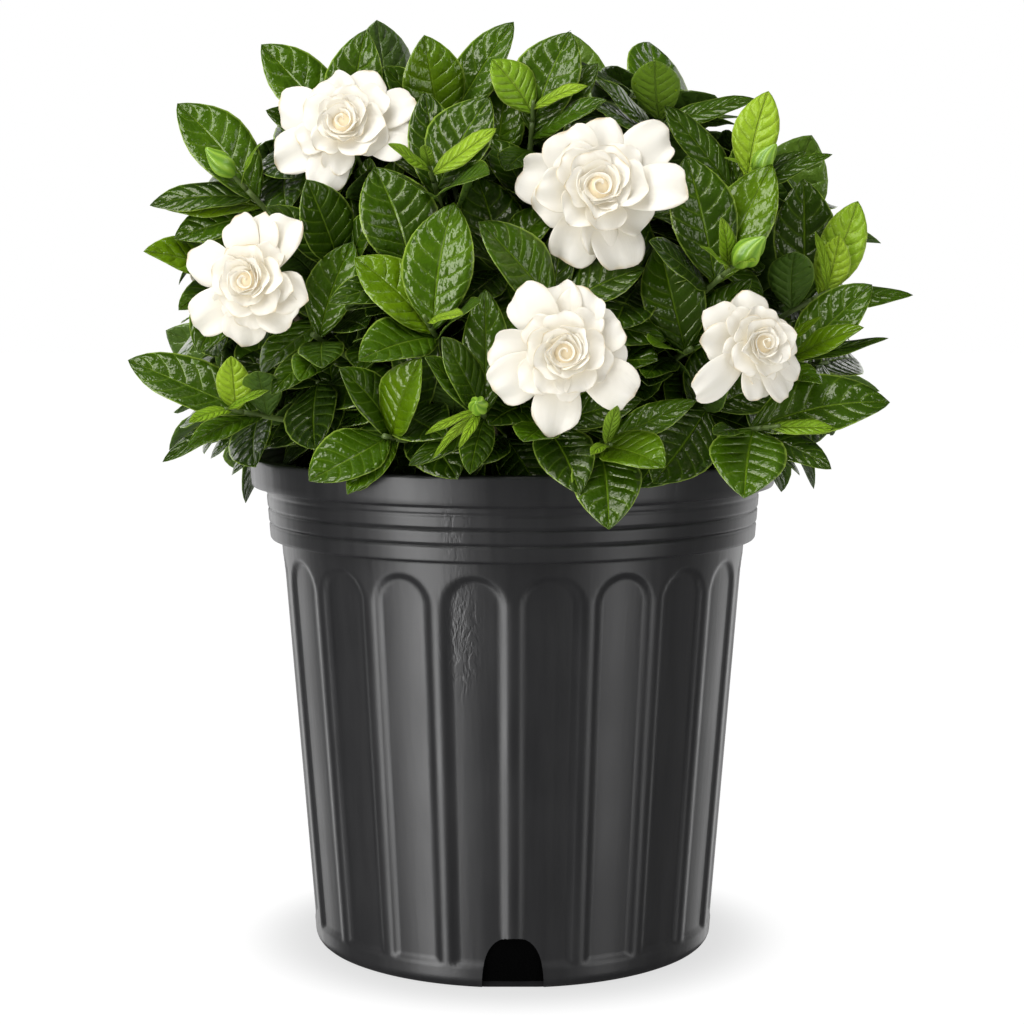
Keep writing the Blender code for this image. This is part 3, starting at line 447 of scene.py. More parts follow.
def streakMaterial(name, look):
    # streaks along the branch, and on bark patches over them
    finish = Finish(name)
    stretch, scale, detail, rough = look["streaks"]
    streaks = finish.noise(finish.place((1, 1, stretch)), scale, detail, rough)
    colour = finish.blend(streaks, look["low"], look["high"])
    if "patches" in look:
        patches = finish.noise(finish.place(), look["patches"])
        colour = finish.blend(patches * look["patchShare"], colour, look["patch"])
    finish.set({"Base Color": colour, "Roughness": look["roughness"]})
    finish.bump(streaks, look["relief"])
    return finish.material


budLook = {"furrow": (0.120, 0.260, 0.018), "rib": (0.275, 0.450, 0.040), "mottle": (0.200, 0.370, 0.032),
           "mottleShare": 0.35, "speckle": 200.0, "ribs": 6, "roughness": 0.33, "relief": 0.0003}


def budMaterial():
    # pale ribs along the bud, by the cosine of its turn, with green furrows between them
    finish = Finish("budGreen")
    look = budLook
    turn = finish.axis(finish.ownMap(), 1) * (math.tau * look["ribs"])
    rib = turn.cosine() * 0.5 + 0.5
    mottle = finish.noise(finish.place(), look["speckle"])
    colour = finish.blend(rib, look["furrow"], look["rib"])
    colour = finish.blend(mottle * look["mottleShare"], colour, look["mottle"])
    finish.set({"Base Color": colour, "Roughness": look["roughness"]})
    finish.bump(mottle, look["relief"])
    return finish.material


matureLeaf = leafMaterial("matureLeaf", leafLook["mature"])
youngLeaf = leafMaterial("youngLeaf", leafLook["young"])
petalWhite = petalMaterial()
potPlastic = plasticMaterial()
pottingMix = soilMaterial()
barkBrown = streakMaterial("barkBrown", barkLook)
greenStem = streakMaterial("greenStem", stemLook)
budGreen = budMaterial()
print("materials made")


# pot

# millimetres and degrees; rows are the first height, the last one and their number, and an edge that turns by
# more than sharp stays sharp
potForm = {
    "columns": 360, "panels": 20, "sharp": 48,
    # profile (radius, height): under the floor, the rounded foot, the taper, the step out to the collar
    "under": ((0, 0), (60, 0), (92, 0), (99.5, 0)),
    "footFlat": 101.5, "footRadius": 106.9, "footRound": 6.0, "bodyTop": 217.5, "bodyTopRadius": 123.4,
    "bodyRows": ((7, 20, 14), (24, 186, 22), (190, 213, 24)), "bodyLast": (214.5, 216.0, 217.0),
    "step": ((123.6, 217.4), (124.6, 217.9), (127.8, 217.9), (128.7, 218.1), (129.15, 218.7)),
    # the collar widens evenly and has round grooves: middle and depth of each
    "collarBottom": 218, "collarRadius": 129.2, "collarWidening": 2.2 / 27, "collarRows": (219.3, 244.6, 44),
    "grooves": ((226.4, 0.85), (234.2, 0.85), (241.4, 0.45)), "grooveWidth": 0.75,
    # over the lip, down the inner steps and the wall to the middle of the floor
    "lip": ((131.6, 245.3), (132.6, 245.8), (137.4, 245.9), (138.4, 246.2), (138.85, 247.0), (139.1, 250.0),
            (139.5, 255.0), (139.85, 259.4), (139.8, 260.4), (139.3, 261.1), (138.5, 261.3), (134.6, 261.3),
            (133.9, 261.0), (133.5, 260.4), (133.4, 258.6), (133.1, 258.1), (131.6, 257.9), (131.2, 257.4),
            (131.0, 255.2), (130.7, 254.8), (129.3, 254.6), (128.9, 254.0), (128.2, 247.0), (126.6, 229.5)),
    "inside": ((120.4, 211.6), (112.4, 110.0), (104.3, 6.0), (103.6, 3.6), (102.8, 3.0), (60, 3.0), (0, 3.0)),
    "panelHalf": 7.8, "panelDepth": 1.7, "bevel": 3.8, "panelBottom": 11.0, "archTop": 211.5,
    # the notches stand under the ribs of these numbers, counted round from the front
    "notchRibs": (0, 7, 13), "notchHalf": 15.5, "notchHeight": 27.0, "notchPower": 2.6, "notchReach": 0.8,
    "notchPast": 14, "notchBelow": 4,
}


def potProfile():
    # (radius, height) from under the pot's middle, up the outside, over the lip and down the inside to the
    # middle of its floor, and which rows the panels sink into
    form = potForm
    turn = np.radians(np.linspace(0, 90, 7))
    foot = np.stack([form["footFlat"] + (form["footRadius"] - form["footFlat"]) * np.sin(turn),
                     form["footRound"] * (1 - np.cos(turn))], axis=1)
    z = np.concatenate([np.linspace(*rows) for rows in form["bodyRows"]] + [form["bodyLast"]])
    taper = (form["bodyTopRadius"] - form["footRadius"]) / (form["bodyTop"] - form["footRound"])
    body = np.stack([form["footRadius"] + taper * (z - form["footRound"]), z], axis=1)
    z = np.linspace(*form["collarRows"])
    radius = form["collarRadius"] + (z - form["collarBottom"]) * form["collarWidening"]
    for middle, depth in form["grooves"]:
        radius = radius - depth * np.exp(-((z - middle) / form["grooveWidth"]) ** 2)
    collar = np.stack([radius, z], axis=1)
    rows = np.concatenate([form["under"], foot, body, form["step"], collar, form["lip"], form["inside"]])
    sunk = np.zeros(len(rows))
    first = len(form["under"]) + len(foot)
    sunk[first:first + len(body)] = 1
    return rows, sunk


def potSurface():
    # the profile turned about the axis, less the arched panels: their depth grows smoothly with the distance
    # inside the outline, which is straight sides under a half circle
    form = potForm
    rows, sunk = potProfile()
    turn = np.linspace(0, math.tau, form["columns"] + 1)
    radius = np.repeat(rows[:, :1], len(turn), axis=1)
    height = np.repeat(rows[:, 1:], len(turn), axis=1)
    pitch = math.tau / form["panels"]
    off = (np.mod(turn, pitch) - pitch / 2)[None]
    half = math.radians(form["panelHalf"]) * form["bodyTopRadius"]
    aside = np.abs(off) * form["bodyTopRadius"]
    spring = form["archTop"] - half
    straight = np.minimum(half - aside, height - form["panelBottom"])
    arch = half - np.hypot(aside, np.maximum(height - spring, 0))
    inside = np.where(height > spring, arch, straight)
    step = np.clip(inside / form["bevel"], 0, 1)
    radius = radius - sunk[:, None] * form["panelDepth"] * step * step * (3 - 2 * step)
    points = np.stack([radius * np.sin(turn), -radius * np.cos(turn), height], axis=-1) * mm
    along = np.linspace(0, 1, len(rows))[:, None]
    return surface(points, gridQuads(len(rows), len(turn))[:, ::-1], along, turn / math.tau)


def notchCutter(degrees):
    # a prism across the wall with the outline x = half * (1 - (z / height)^n)^(1/n)
    form = potForm
    rise = np.sin(np.linspace(0, math.pi / 2, 12))
    wide = form["notchHalf"] * (1 - rise ** form["notchPower"]) ** (1 / form["notchPower"])
    z = rise * form["notchHeight"]
    x = np.concatenate([[form["notchHalf"]], wide, -wide[-2::-1], [-form["notchHalf"]]])
    z = np.concatenate([[-form["notchBelow"]], z, z[-2::-1], [-form["notchBelow"]]])
    out = np.array(polar(1, degrees, 0))
    across = np.array([-out[1], out[0], 0])
    rings = [out * r + x[:, None] * across + z[:, None] * np.array([0, 0, 1])
             for r in (form["footFlat"] - form["notchReach"], form["footRadius"] + form["notchPast"])]
    count = len(x)
    faces = [tuple(reversed(range(count))), tuple(range(count, 2 * count))]
    faces += [(i, (i + 1) % count, count + (i + 1) % count, count + i) for i in range(count)]
    mesh = bpy.data.meshes.new("notchCutter")
    mesh.from_pydata((np.concatenate(rings) * mm).tolist(), [], faces)
    cutter = addObject("notchCutter", mesh)
    cutter.hide_render = True
    return cutter


def cutAway(piece, cutter):
    # the piece keeps what lies outside the cutter, which then goes
    difference = piece.modifiers.new("cut", "BOOLEAN")
    difference.operation = "DIFFERENCE"
    difference.solver = "MANIFOLD"
    difference.object = cutter
    bpy.context.view_layer.update()
    result = piece.evaluated_get(bpy.context.evaluated_depsgraph_get())
    piece.data = bpy.data.meshes.new_from_object(result)
    piece.modifiers.clear()
    bpy.data.objects.remove(cutter, do_unlink=True)


pot = makePiece("nurseryPot", [potSurface()], [potPlastic])
for rib in potForm["notchRibs"]:
    cutAway(pot, notchCutter(360 * rib / potForm["panels"]))
pot.data.shade_smooth()
pot.data.set_sharp_from_angle(angle=math.radians(potForm["sharp"]))
settle(pot, "pot_plastic", "nursery_pot")
print("pot made:", len(pot.data.polygons), "faces")


# potting mix

# millimetres; side is the (radius, height) of the mix along the pot's wall to the middle of the floor
soilForm = {"edge": 125.9, "top": 234.6, "crown": 5.0, "waves": 46, "waveLength": (5, 28), "rough": 0.42,
            "side": ((125.9, 229.4), (119.8, 211.3), (103.6, 4.2), (103.2, 3.6), (0, 3.6)),
            "chips": 420, "chipHalf": ((2, 6), (1.2, 3.5), (0.5, 1.3)), "chipUneven": (0.7, 1.15),
            "chipTilt": 0.5, "chipReach": 118, "chipLift": 0.7, "sharp": 40}


def soilHeight(x, y):
    # a low crown plus many short waves of seeded direction, length and phase
    form = soilForm
    draw = np.random.default_rng(5)
    z = form["top"] + form["crown"] * (1 - (np.hypot(x, y) / form["edge"]) ** 2)
    for _ in range(form["waves"]):
        way, length = draw.uniform(0, math.tau), draw.uniform(*form["waveLength"])
        phase = math.tau * (x * math.cos(way) + y * math.sin(way)) / length + draw.uniform(0, math.tau)
        z = z + form["rough"] * (length / form["waveLength"][1]) ** 0.5 * np.sin(phase)
    return z


def soilSurface():
    # the crown on rings about the axis, then down the wall to the middle of the floor
    turn = np.linspace(0, math.tau, 145)
    reach = soilForm["edge"] * np.linspace(0, 1, 44)
    side = np.array(soilForm["side"])
    radius = np.concatenate([reach, side[:, 0]])[:, None]
    x, y = radius * np.sin(turn), -radius * np.cos(turn)
    crown = soilHeight(x[:len(reach)], y[:len(reach)])
    z = np.concatenate([crown, np.repeat(side[:, 1:], len(turn), axis=1)])
    return surface(np.stack([x, y, z], axis=-1) * mm, gridQuads(len(z), len(turn)))


def turned(x, y, angle):
    # each row of x and y, turned by its own angle
    cos, sin = np.cos(angle)[:, None], np.sin(angle)[:, None]
    return x * cos - y * sin, x * sin + y * cos


def chipBoxes():
    # flat chips of bark, each a box with uneven corners, turned at random and laid on the crown
    form = soilForm
    draw = np.random.default_rng(8)
    count = form["chips"]
    corners = np.array([[x, y, z] for x in (-1, 1) for y in (-1, 1) for z in (-1, 1)], dtype=float)
    half = np.stack([draw.uniform(low, high, count) for low, high in form["chipHalf"]], axis=1)
    points = corners[None] * half[:, None] * draw.uniform(*form["chipUneven"], (count, 8, 3))
    turn, tilt = draw.uniform(0, math.tau, count), draw.uniform(-form["chipTilt"], form["chipTilt"], count)
    way, reach = draw.uniform(0, math.tau, count), form["chipReach"] * np.sqrt(draw.uniform(0.01, 1, count))
    px, py = reach * np.cos(way), reach * np.sin(way)
    x, z = turned(points[..., 0], points[..., 2], -tilt)
    x, y = turned(x, points[..., 1], turn)
    z = z + (soilHeight(px, py) + form["chipLift"])[:, None]
    box = np.array([(0, 1, 3, 2), (4, 6, 7, 5), (0, 4, 5, 1), (2, 3, 7, 6), (0, 2, 6, 4), (1, 5, 7, 3)])
    points = np.stack([x + px[:, None], y + py[:, None], z], axis=-1) * mm
    return surface(points, repeatQuads(box, 8, count), slot=1)


soil = makePiece("pottingMixFill", [soilSurface(), chipBoxes()], [pottingMix, barkBrown], soilForm["sharp"])
settle(soil, "potting_mix", "potting_soil")
print("potting mix made")


# where the shoots stand, by the same rule as the solids

plant = {
    # a shoot points away from the heart, which lies low inside the bush
    "heart": (0, 0, 268), "lift": 12, "stem": 46, "stemRadius": 1.35, "firstLeaf": 5.5, "leafStep": 3.2,
    # young tips: length, radii of their stem, how far up their leaves start, and the gap under them
    "tip": 11, "tipRadii": (1.3, 0.9), "tipFirstLeaf": 4, "tipLeafStep": 2.5, "gap": 0.3,
    # neck of a bloom as a share of its radius, and radii of its throat, the last one as such a share
    "neck": 0.55, "throat": (1.6, 2.6), "throatTop": 0.12,
    # how far a leaf turns its face outwards and to the sky, and how near its tip must lie to the solid's
    "outwards": 0.78, "skywards": 0.62, "match": 0.42,
}
# kinds of leaf: least length in mm, width as a share of it, droop, fold
leafKinds = {"mature": (47, 0.60, 0.14, 0.20), "side": (60, 0.62, 0.17, 0.0), "young": (30, 0.46, 0.08, 0.34)}
# the photo's view: eye in mm, degrees that it looks down, pixels for one unit of slope, middle, and the width
# below which a leaf is flat
photoView = {"eye": (0, -1254.1, 358.8), "looksDown": 5.866, "slopePixels": 2352, "middle": (512.8, 512),
             "narrow": 43}
# front shoots: name, place in the photo in pixels, depth in mm, mature leaves, young leaves; a leaf is the x
# and y of its tip in the photo, its width there and its tone from dark to bright, which holds its colour and
# also painted light and shade
frontShoots = [
    ("a", (343, 130), -66, [(263, 43, 58, .45), (367, 30, 52, .35), (266, 110, 40, .2),
                            (283, 216, 50, .15)], []),
    ("b", (440, 118), -72, [(425, 36, 56, .62), (512, 21, 46, .35), (386, 66, 44, .25),
                            (398, 158, 40, .15)], []),
    ("c", (532, 122), -82, [(571, 32, 60, .3), (604, 98, 28, .4), (596, 62, 36, .3), (506, 168, 36, .15)],
     [(493, 59, 42, .35), (586, 84, 16, .7)]),
    ("d", (664, 112), -80, [(648, 48, 42, 1.0), (755, 98, 24, .3), (597, 79, 26, .25),
                            (606, 110, 40, .2)], []),
    ("e", (742, 186), -100, [(665, 105, 34, .25), (831, 152, 20, .4), (777, 120, 34, .2), (806, 150, 26, .4)],
     [(768, 91, 40, .75), (727, 155, 10, .5)]),
    ("f", (247, 190), -100, [(150, 202, 34, .2), (185, 96, 58, .42), (173, 165, 30, .8), (177, 234, 44, .35)],
     [(258, 142, 8, .4)]),
    ("g", (222, 268), -88, [(147, 248, 44, .72), (227, 177, 54, .5), (198, 350, 48, .35),
                            (168, 310, 36, .25)], []),
    ("h", (243, 412), -122, [(127, 360, 54, .3), (162, 460, 22, .2), (186, 400, 26, .45), (262, 345, 34, .2)],
     [(231, 356, 31, .75), (190, 420, 16, .5), (267, 389, 12, .45)]),
    ("i", (312, 334), -122, [(353, 242, 46, .45), (322, 366, 40, .15), (300, 380, 36, .35),
                             (262, 398, 30, .2)], []),
    ("j", (430, 326), -150, [(453, 203, 64, .5), (357, 256, 56, .72), (361, 356, 54, .4),
                             (478, 300, 36, .35)],
     [(463, 314, 18, .7)]),
    ("k", (434, 182), -126, [(488, 97, 60, .2), (497, 170, 44, .35), (425, 92, 44, .12), (397, 176, 22, .3)],
     [(496, 128, 24, .7), (388, 144, 20, .55), (424, 145, 12, .5)]),
    ("l", (556, 300), -136, [(481, 218, 56, .4), (641, 268, 50, .2), (666, 338, 46, .2),
                             (602, 226, 30, .1)], []),
    ("m", (384, 436), -150, [(309, 481, 56, .35), (417, 361, 48, .68), (353, 486, 30, .5),
                             (345, 376, 44, .2)], []),
    ("n", (482, 412), -158, [(442, 337, 38, .3), (485, 290, 42, .35), (424, 342, 36, .3), (470, 474, 30, .15),
                             (409, 465, 26, .15)], [(432, 457, 9, .6), (425, 434, 9, .6), (459, 447, 9, .6)]),
    ("o", (546, 424), -152, [(579, 490, 52, .1), (524, 441, 42, .5), (640, 398, 40, .15)], []),
    ("p", (604, 446), -160, [(609, 525, 62, .25), (679, 466, 50, .6), (694, 398, 32, .3)],
     [(620, 400, 14, .6), (592, 452, 12, .5)]),
    ("q", (692, 348), -122, [(659, 243, 58, .3), (654, 346, 36, .55), (751, 278, 34, .45),
                             (646, 378, 34, .2)], []),
    ("r", (762, 428), -136, [(744, 498, 68, .45), (887, 388, 64, .28), (831, 467, 34, .15),
                             (714, 448, 24, .15)],
     [(836, 427, 18, .5)]),
    ("s", (722, 276), -124, [(688, 156, 60, .2), (772, 163, 56, .6), (634, 236, 40, .1)],
     [(722, 218, 16, .6), (695, 243, 12, .5), (755, 260, 10, .5)]),
    ("t", (812, 300), -84, [(805, 178, 56, .15), (913, 295, 24, .4), (788, 232, 40, .3)],
     [(858, 201, 42, .6), (838, 233, 30, .75), (812, 226, 10, .6)]),
    ("u", (800, 356), -104, [(870, 283, 50, .4), (860, 325, 30, .7), (888, 337, 14, .4), (821, 381, 26, .5),
                             (818, 315, 14, .75)], []),
    ("v", (408, 266), -132, [(376, 167, 70, .22), (330, 300, 36, .15), (398, 316, 40, .3)], []),
    ("w", (333, 258), -112, [(305, 187, 52, .18), (268, 206, 40, .12), (384, 234, 36, .15)], []),
]
# other shoots: name, azimuth, radius, height, young leaves
aroundShoots = [
    ("back_a", 108, 160, 296, 0), ("back_b", 138, 166, 292, 0), ("back_c", 178, 168, 290, 0),
    ("back_d", 214, 166, 294, 0), ("back_e", 250, 156, 292, 0), ("back_f", 104, 150, 384, 0),
    ("back_g", 150, 158, 366, 0), ("back_h", 203, 156, 372, 0), ("back_i", 250, 158, 366, 0),
    ("back_j", 90, 74, 436, 0), ("back_k", 158, 84, 440, 0), ("back_l", 238, 82, 444, 0),
    ("back_m", 330, 18, 443, 2),
]
frontWay = Vector((0, -1, 0.08)).normalized()


def viewFrame(outward):
    # right, up and outward for someone who looks at a shoot from outside
    right = (-outward).cross(skyward).normalized()
    return right, right.cross(-outward).normalized(), outward


# three whorls of three leaves, as turn of the whorl and seen lengths in mm, and the leaves' tones; the young
# leaves have a first clock angle, a step, a seen length and a tone
around = {"whorls": ((0, 28, 38), (60, 46, 54), (30, 52, 58)), "sway": 14, "darkest": 0.18, "spread": 0.5,
          "power": 1.6, "young": (40, 150, 24, 0.5)}


def aroundLeaves(name):
    # clock angle, seen length and tone of each leaf, by draws that the shoot's name seeds
    draw = random.Random(name)
    start = draw.uniform(0, 120)
    sway = around["sway"]
    leaves = [(start + shift + 120 * i + draw.uniform(-sway, sway), draw.uniform(short, long))
              for shift, short, long in around["whorls"] for i in range(3)]
    tones = [around["darkest"] + around["spread"] * random.Random(name + str(n)).random() ** around["power"]
             for n in range(len(leaves))]
    return [(clock, seen, tone) for (clock, seen), tone in zip(leaves, tones)]


def fromPhoto(x, y, depth):
    # the point at a depth that the photo shows at pixel (x, y)
    down = math.radians(photoView["looksDown"])
    across = (x - photoView["middle"][0]) / photoView["slopePixels"]
    rise = (photoView["middle"][1] - y) / photoView["slopePixels"]
    sight = Vector((across, math.cos(down) + rise * math.sin(down), rise * math.cos(down) - math.sin(down)))
    eye = Vector(photoView["eye"]) * mm
    return eye + sight * ((depth - eye.y) / sight.y)


def seenLeaf(base, view, x, y, width, kind):
    # clock angle, seen length and kind of the leaf whose drooping tip the photo shows at (x, y), found by
    # moving the aim by most of what the tip misses
    least, _, droop, fold = kind
    aim = fromPhoto(x, y, base.y) - base
    flat = Vector((aim.dot(view[0]), aim.dot(view[1])))
    for _ in range(12):
        seen = flat.length / mm
        clock = math.degrees(math.atan2(flat.x, flat.y))
        real = max(least, seen * 1.02)
        along = leafDirection(view, clock, seen, real)
        end = base + (along - leafNormal(along, view[2]) * droop) * (real * mm)
        miss = fromPhoto(x, y, end.y) - end
        flat += Vector((miss.dot(view[0]), miss.dot(view[1]))) * 0.7
    ratio = width / photoView["slopePixels"] * (base.y / mm - photoView["eye"][1]) / real
    return clock, seen, (real, ratio, droop, fold if width > photoView["narrow"] else 0)


def shootPlan():
    # each shoot points away from a low place inside the bush
    heart = Vector(plant["heart"]) * mm
    lift = skyward * plant["lift"] * mm
    plans = []
    for name, at, depth, mature, young in frontShoots:
        end = fromPhoto(*at, depth * mm)
        plans.append((name, end, (end - heart + lift).normalized(), frontWay, mature, young))
    for name, azimuth, radius, height, young in aroundShoots:
        end = polar(radius * mm, azimuth, height * mm)
        away = (end - heart + lift).normalized()
        crown = (away + polar(0.35, azimuth, 0)).normalized()
        first, step, seen, tone = around["young"]
        youngLeaves = [(first + step * i, seen, tone) for i in range(young)]
        plans.append((name, end, away, crown, aroundLeaves(name), youngLeaves))
    return plans


def leafDirection(view, clock, seen, real):
    # the way of a leaf that points to the clock angle and shows only part of its real length
    right, above, outward = view
    turn = math.radians(clock)
    share = min(seen / real, 0.995)
    return ((right * math.sin(turn) + above * math.cos(turn)) * share
            + outward * math.sqrt(1 - share * share)).normalized()


def leafNormal(along, outward):
    # square to the leaf and turned towards the viewer and the sky
    skies = (outward * plant["outwards"] + skyward * plant["skywards"]).normalized()
    normal = skies - along * skies.dot(along)
    if normal.length < 0.15:
        normal = skyward - along * skyward.dot(along)
    return normal.normalized()


# turns in degrees and shares of the length by which the solids' leaves may have been moved, and their sizes
swings = [(c, s) for c in (0, 4, -4, 8, -8, 12, -12) for s in (0, -0.08, 0.08, -0.16, 0.16)]
swings += [(c, s) for s in (0, 0.1, -0.1, 0.2, -0.2, -0.35) for c in (18, -18, 26, -26, 38, -38)]
wideSwings = swings + [(c * side, s) for side in (1, -1) for c in range(45, 180, 15) for s in (0, 0.2)]
sizes = (1.0, 0.88, 0.76)


def cornerTree(node):
    # the corners of a CAD node, for finding where its leaves ended up
    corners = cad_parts[node].data.vertices
    tree = KDTree(len(corners))
    for i, corner in enumerate(corners):
        tree.insert(corner.co, i)
    tree.balance()
    return tree


def leafAt(tree, base, view, clock, seen, kind, tone, wide=False):
    # the swing whose tip the solid has is the one that the solid's leaf took
    real, ratio, droop, fold = kind
    real = max(real, seen * 1.02)
    for size in sizes:
        for turn, pull in (wideSwings if wide else swings):
            span = max(min(seen + pull * real, real * 0.99), 6)
            along = leafDirection(view, clock + turn, span, real)
            normal = leafNormal(along, view[2])
            lift = along.cross(normal).normalized().cross(along).normalized()
            length = real * size * mm
            tip = base + along * length - lift * (droop * length)
            if tree.find(tip)[2] < plant["match"] * mm:
                return (base, along, lift, length, length * ratio, droop, fold, clock * 0.37 + seen, tone)
    return None


def findLeaves(node, outward, bases, specs, kinds, wide=False):
    # the leaves of a shoot or tip that its solid has: the photo tells where those of the front are, and a
    # clock angle and a seen length where the others are
    tree = cornerTree(node)
    view = viewFrame(outward)
    leaves = []
    for base, spec in zip(bases, specs):
        if outward is frontWay:
            clock, seen, kind = seenLeaf(base, view, *spec[:3], leafKinds[kinds[0]])
        else:
            (clock, seen), kind = spec[:2], leafKinds[kinds[1]]
        leaves.append(leafAt(tree, base, view, clock, seen, kind, spec[-1], wide))
    return [leaf for leaf in leaves if leaf]


# leaves

leafForm = {
    "rows": 13, "columns": 7, "thickness": 0.45, "hollow": 0.10, "spread": 1.13,
    # half width: powers of the way from the root and of the way to the tip, and their product's largest value
    "rootPower": 0.95, "tipPower": 0.85, "widest": 0.2880,
    # shares of the length: ripple of the rim with its waves, curl of the tip, sway of the midrib
    "wave": 0.022, "waves": 1.6, "otherSide": 1.7, "curl": 0.030, "sway": 0.03,
}


def leafPart(leaves, rows=leafForm["rows"]):
    # along a drooping midrib the half width is u^0.95 * (1 - u)^0.85, scaled so that its largest value is 1;
    # the halves rise with the distance from the midrib, the rim ripples, and the tip curls down
    form = leafForm
    columns = form["columns"]
    base, along, lift = (np.array([tuple(leaf[k]) for leaf in leaves])[:, None, None] for k in range(3))
    across = np.cross(along, lift)
    length, width, droop, fold, phase, tone = (np.array([leaf[k] for leaf in leaves])[:, None, None]
                                               for k in range(3, 9))
    u = (1 - np.cos(np.linspace(0, math.pi, rows))) / 2
    u = (0.35 * np.linspace(0, 1, rows) + 0.65 * u)[None, :, None]
    v = np.linspace(-1, 1, columns)[None, None, :]
    outline = u ** form["rootPower"] * (1 - u) ** form["tipPower"] / form["widest"]
    half = form["spread"] * width / 2 * outline + 0.0005 * (1 - u) ** 3 + 0.00008
    rise = (fold * 0.8 + form["hollow"]) * half * np.abs(v) ** 1.35
    turn = math.tau * form["waves"] * u + phase + np.where(v > 0, form["otherSide"], 0.0)
    ripple = form["wave"] * length * np.sin(turn) * v ** 2 * np.sin(math.pi * u)
    curl = form["curl"] * length * u ** 4 * (1 + np.sin(phase * 3.1))
    sway = form["sway"] * length * np.sin(math.pi * u) * np.sin(phase * 1.7)
    middle = base + along * (length * u)[..., None] + lift * (-droop * length * u * u - curl)[..., None]
    spot = middle + across * (half * v + sway)[..., None] + lift * (rise + ripple)[..., None]
    skin = lift * (form["thickness"] * mm / 2 * (1 - 0.55 * np.abs(v) ** 3) * (1 - 0.5 * u))[..., None]
    under = np.array([0.0, 1.0])[:, None, None]
    return surface(np.stack([spot + skin, spot - skin], axis=1),
                   repeatQuads(sheetQuads(rows, columns), 2 * rows * columns, len(leaves)),
                   u, (v + 1) / 2, tone[:, None], under)


# blooms

# shoot, middle in mm, azimuth and elevation that the bloom faces, roll, radius in mm, and the outer petals
# that the photograph shows, as (clock, reach in mm, and degrees that it stands up more)
blooms = [
    ("a", (-80, -106, 427), -8, 16, 10, 37,
     ((-68, 38), (-116, 39), (-158, 33), (106, 34), (66, 36), (17, 31), (-20, 30))),
    ("g", (-123, -132, 353), -16, 6, 0, 34,
     ((-18, 34), (8, 33), (32, 37), (106, 27), (137, 28), (-167, 30), (-123, 38), (-69, 38))),
    ("d", (40, -126, 396), 4, 10, 20, 43,
     ((-32, 34), (2, 36), (49, 46, 8), (91, 47, 24), (160, 40), (-156, 37), (-103, 30), (-77, 39))),
    ("l", (24, -176, 321), -2, 4, 5, 36,
     ((-37, 37), (-8, 33), (19, 31), (60, 29), (98, 28), (122, 38), (-171, 38), (-117, 38), (-90, 35))),
    ("u", (114, -148, 324), 22, 8, 15, 31,
     ((-9, 25), (-55, 28), (-86, 26), (-125, 42), (-179, 26), (147, 30), (125, 27), (78, 22))),
    ("back_g", (88, 168, 372), 152, 14, 0, 37, ()),
    ("back_i", (-166, 62, 372), 250, 12, 12, 35, ()),
]
# inner rings: petals, reach, width, rise at the root, bend to the tip (degrees), cup, lift, turn, roundness
petalRings = (
    (5, 0.63, 0.78, 27, -32, 0.18, -0.06, 24, 3.2),
    (5, 0.55, 0.92, 43, -32, 0.30, 0.00, 0, 3.6),
    (5, 0.47, 1.00, 59, -30, 0.48, 0.03, 30, 4.0),
    (4, 0.38, 1.15, 73, -26, 0.62, 0.05, 5, 4.0),
)
petalForm = {
    "rows": 15, "columns": 13, "thickness": 0.5, "twist": 10,
    # outer petals: width, rise at the root, bend to the tip, cup, lift and tone, and how many where none is
    # seen
    "outerWidth": 0.61, "outerRise": 19, "outerBend": -32, "outerCup": 0.14, "outerLift": -0.12,
    "outerTone": 0.45, "outer": 6,
    # half width: powers of the way from the root and of what is left at the tip
    "rootPower": 0.75, "tipPower": 0.5,
    # shares of the length: point and lean of the tip, slow and quick ripple, roll of the rim with its power
    "point": 0.020, "lean": 0.04, "ripple": 0.050, "quickRipple": 0.036, "roll": 0.055, "rollPower": 7,
    # how far out the tanned rim starts, and how quickly it comes
    "rimFrom": 0.86, "rimSharp": 9,
    # blooms whose tone is nearer to cream
    "creamier": {"g": 0.80, "l": 0.90},
}


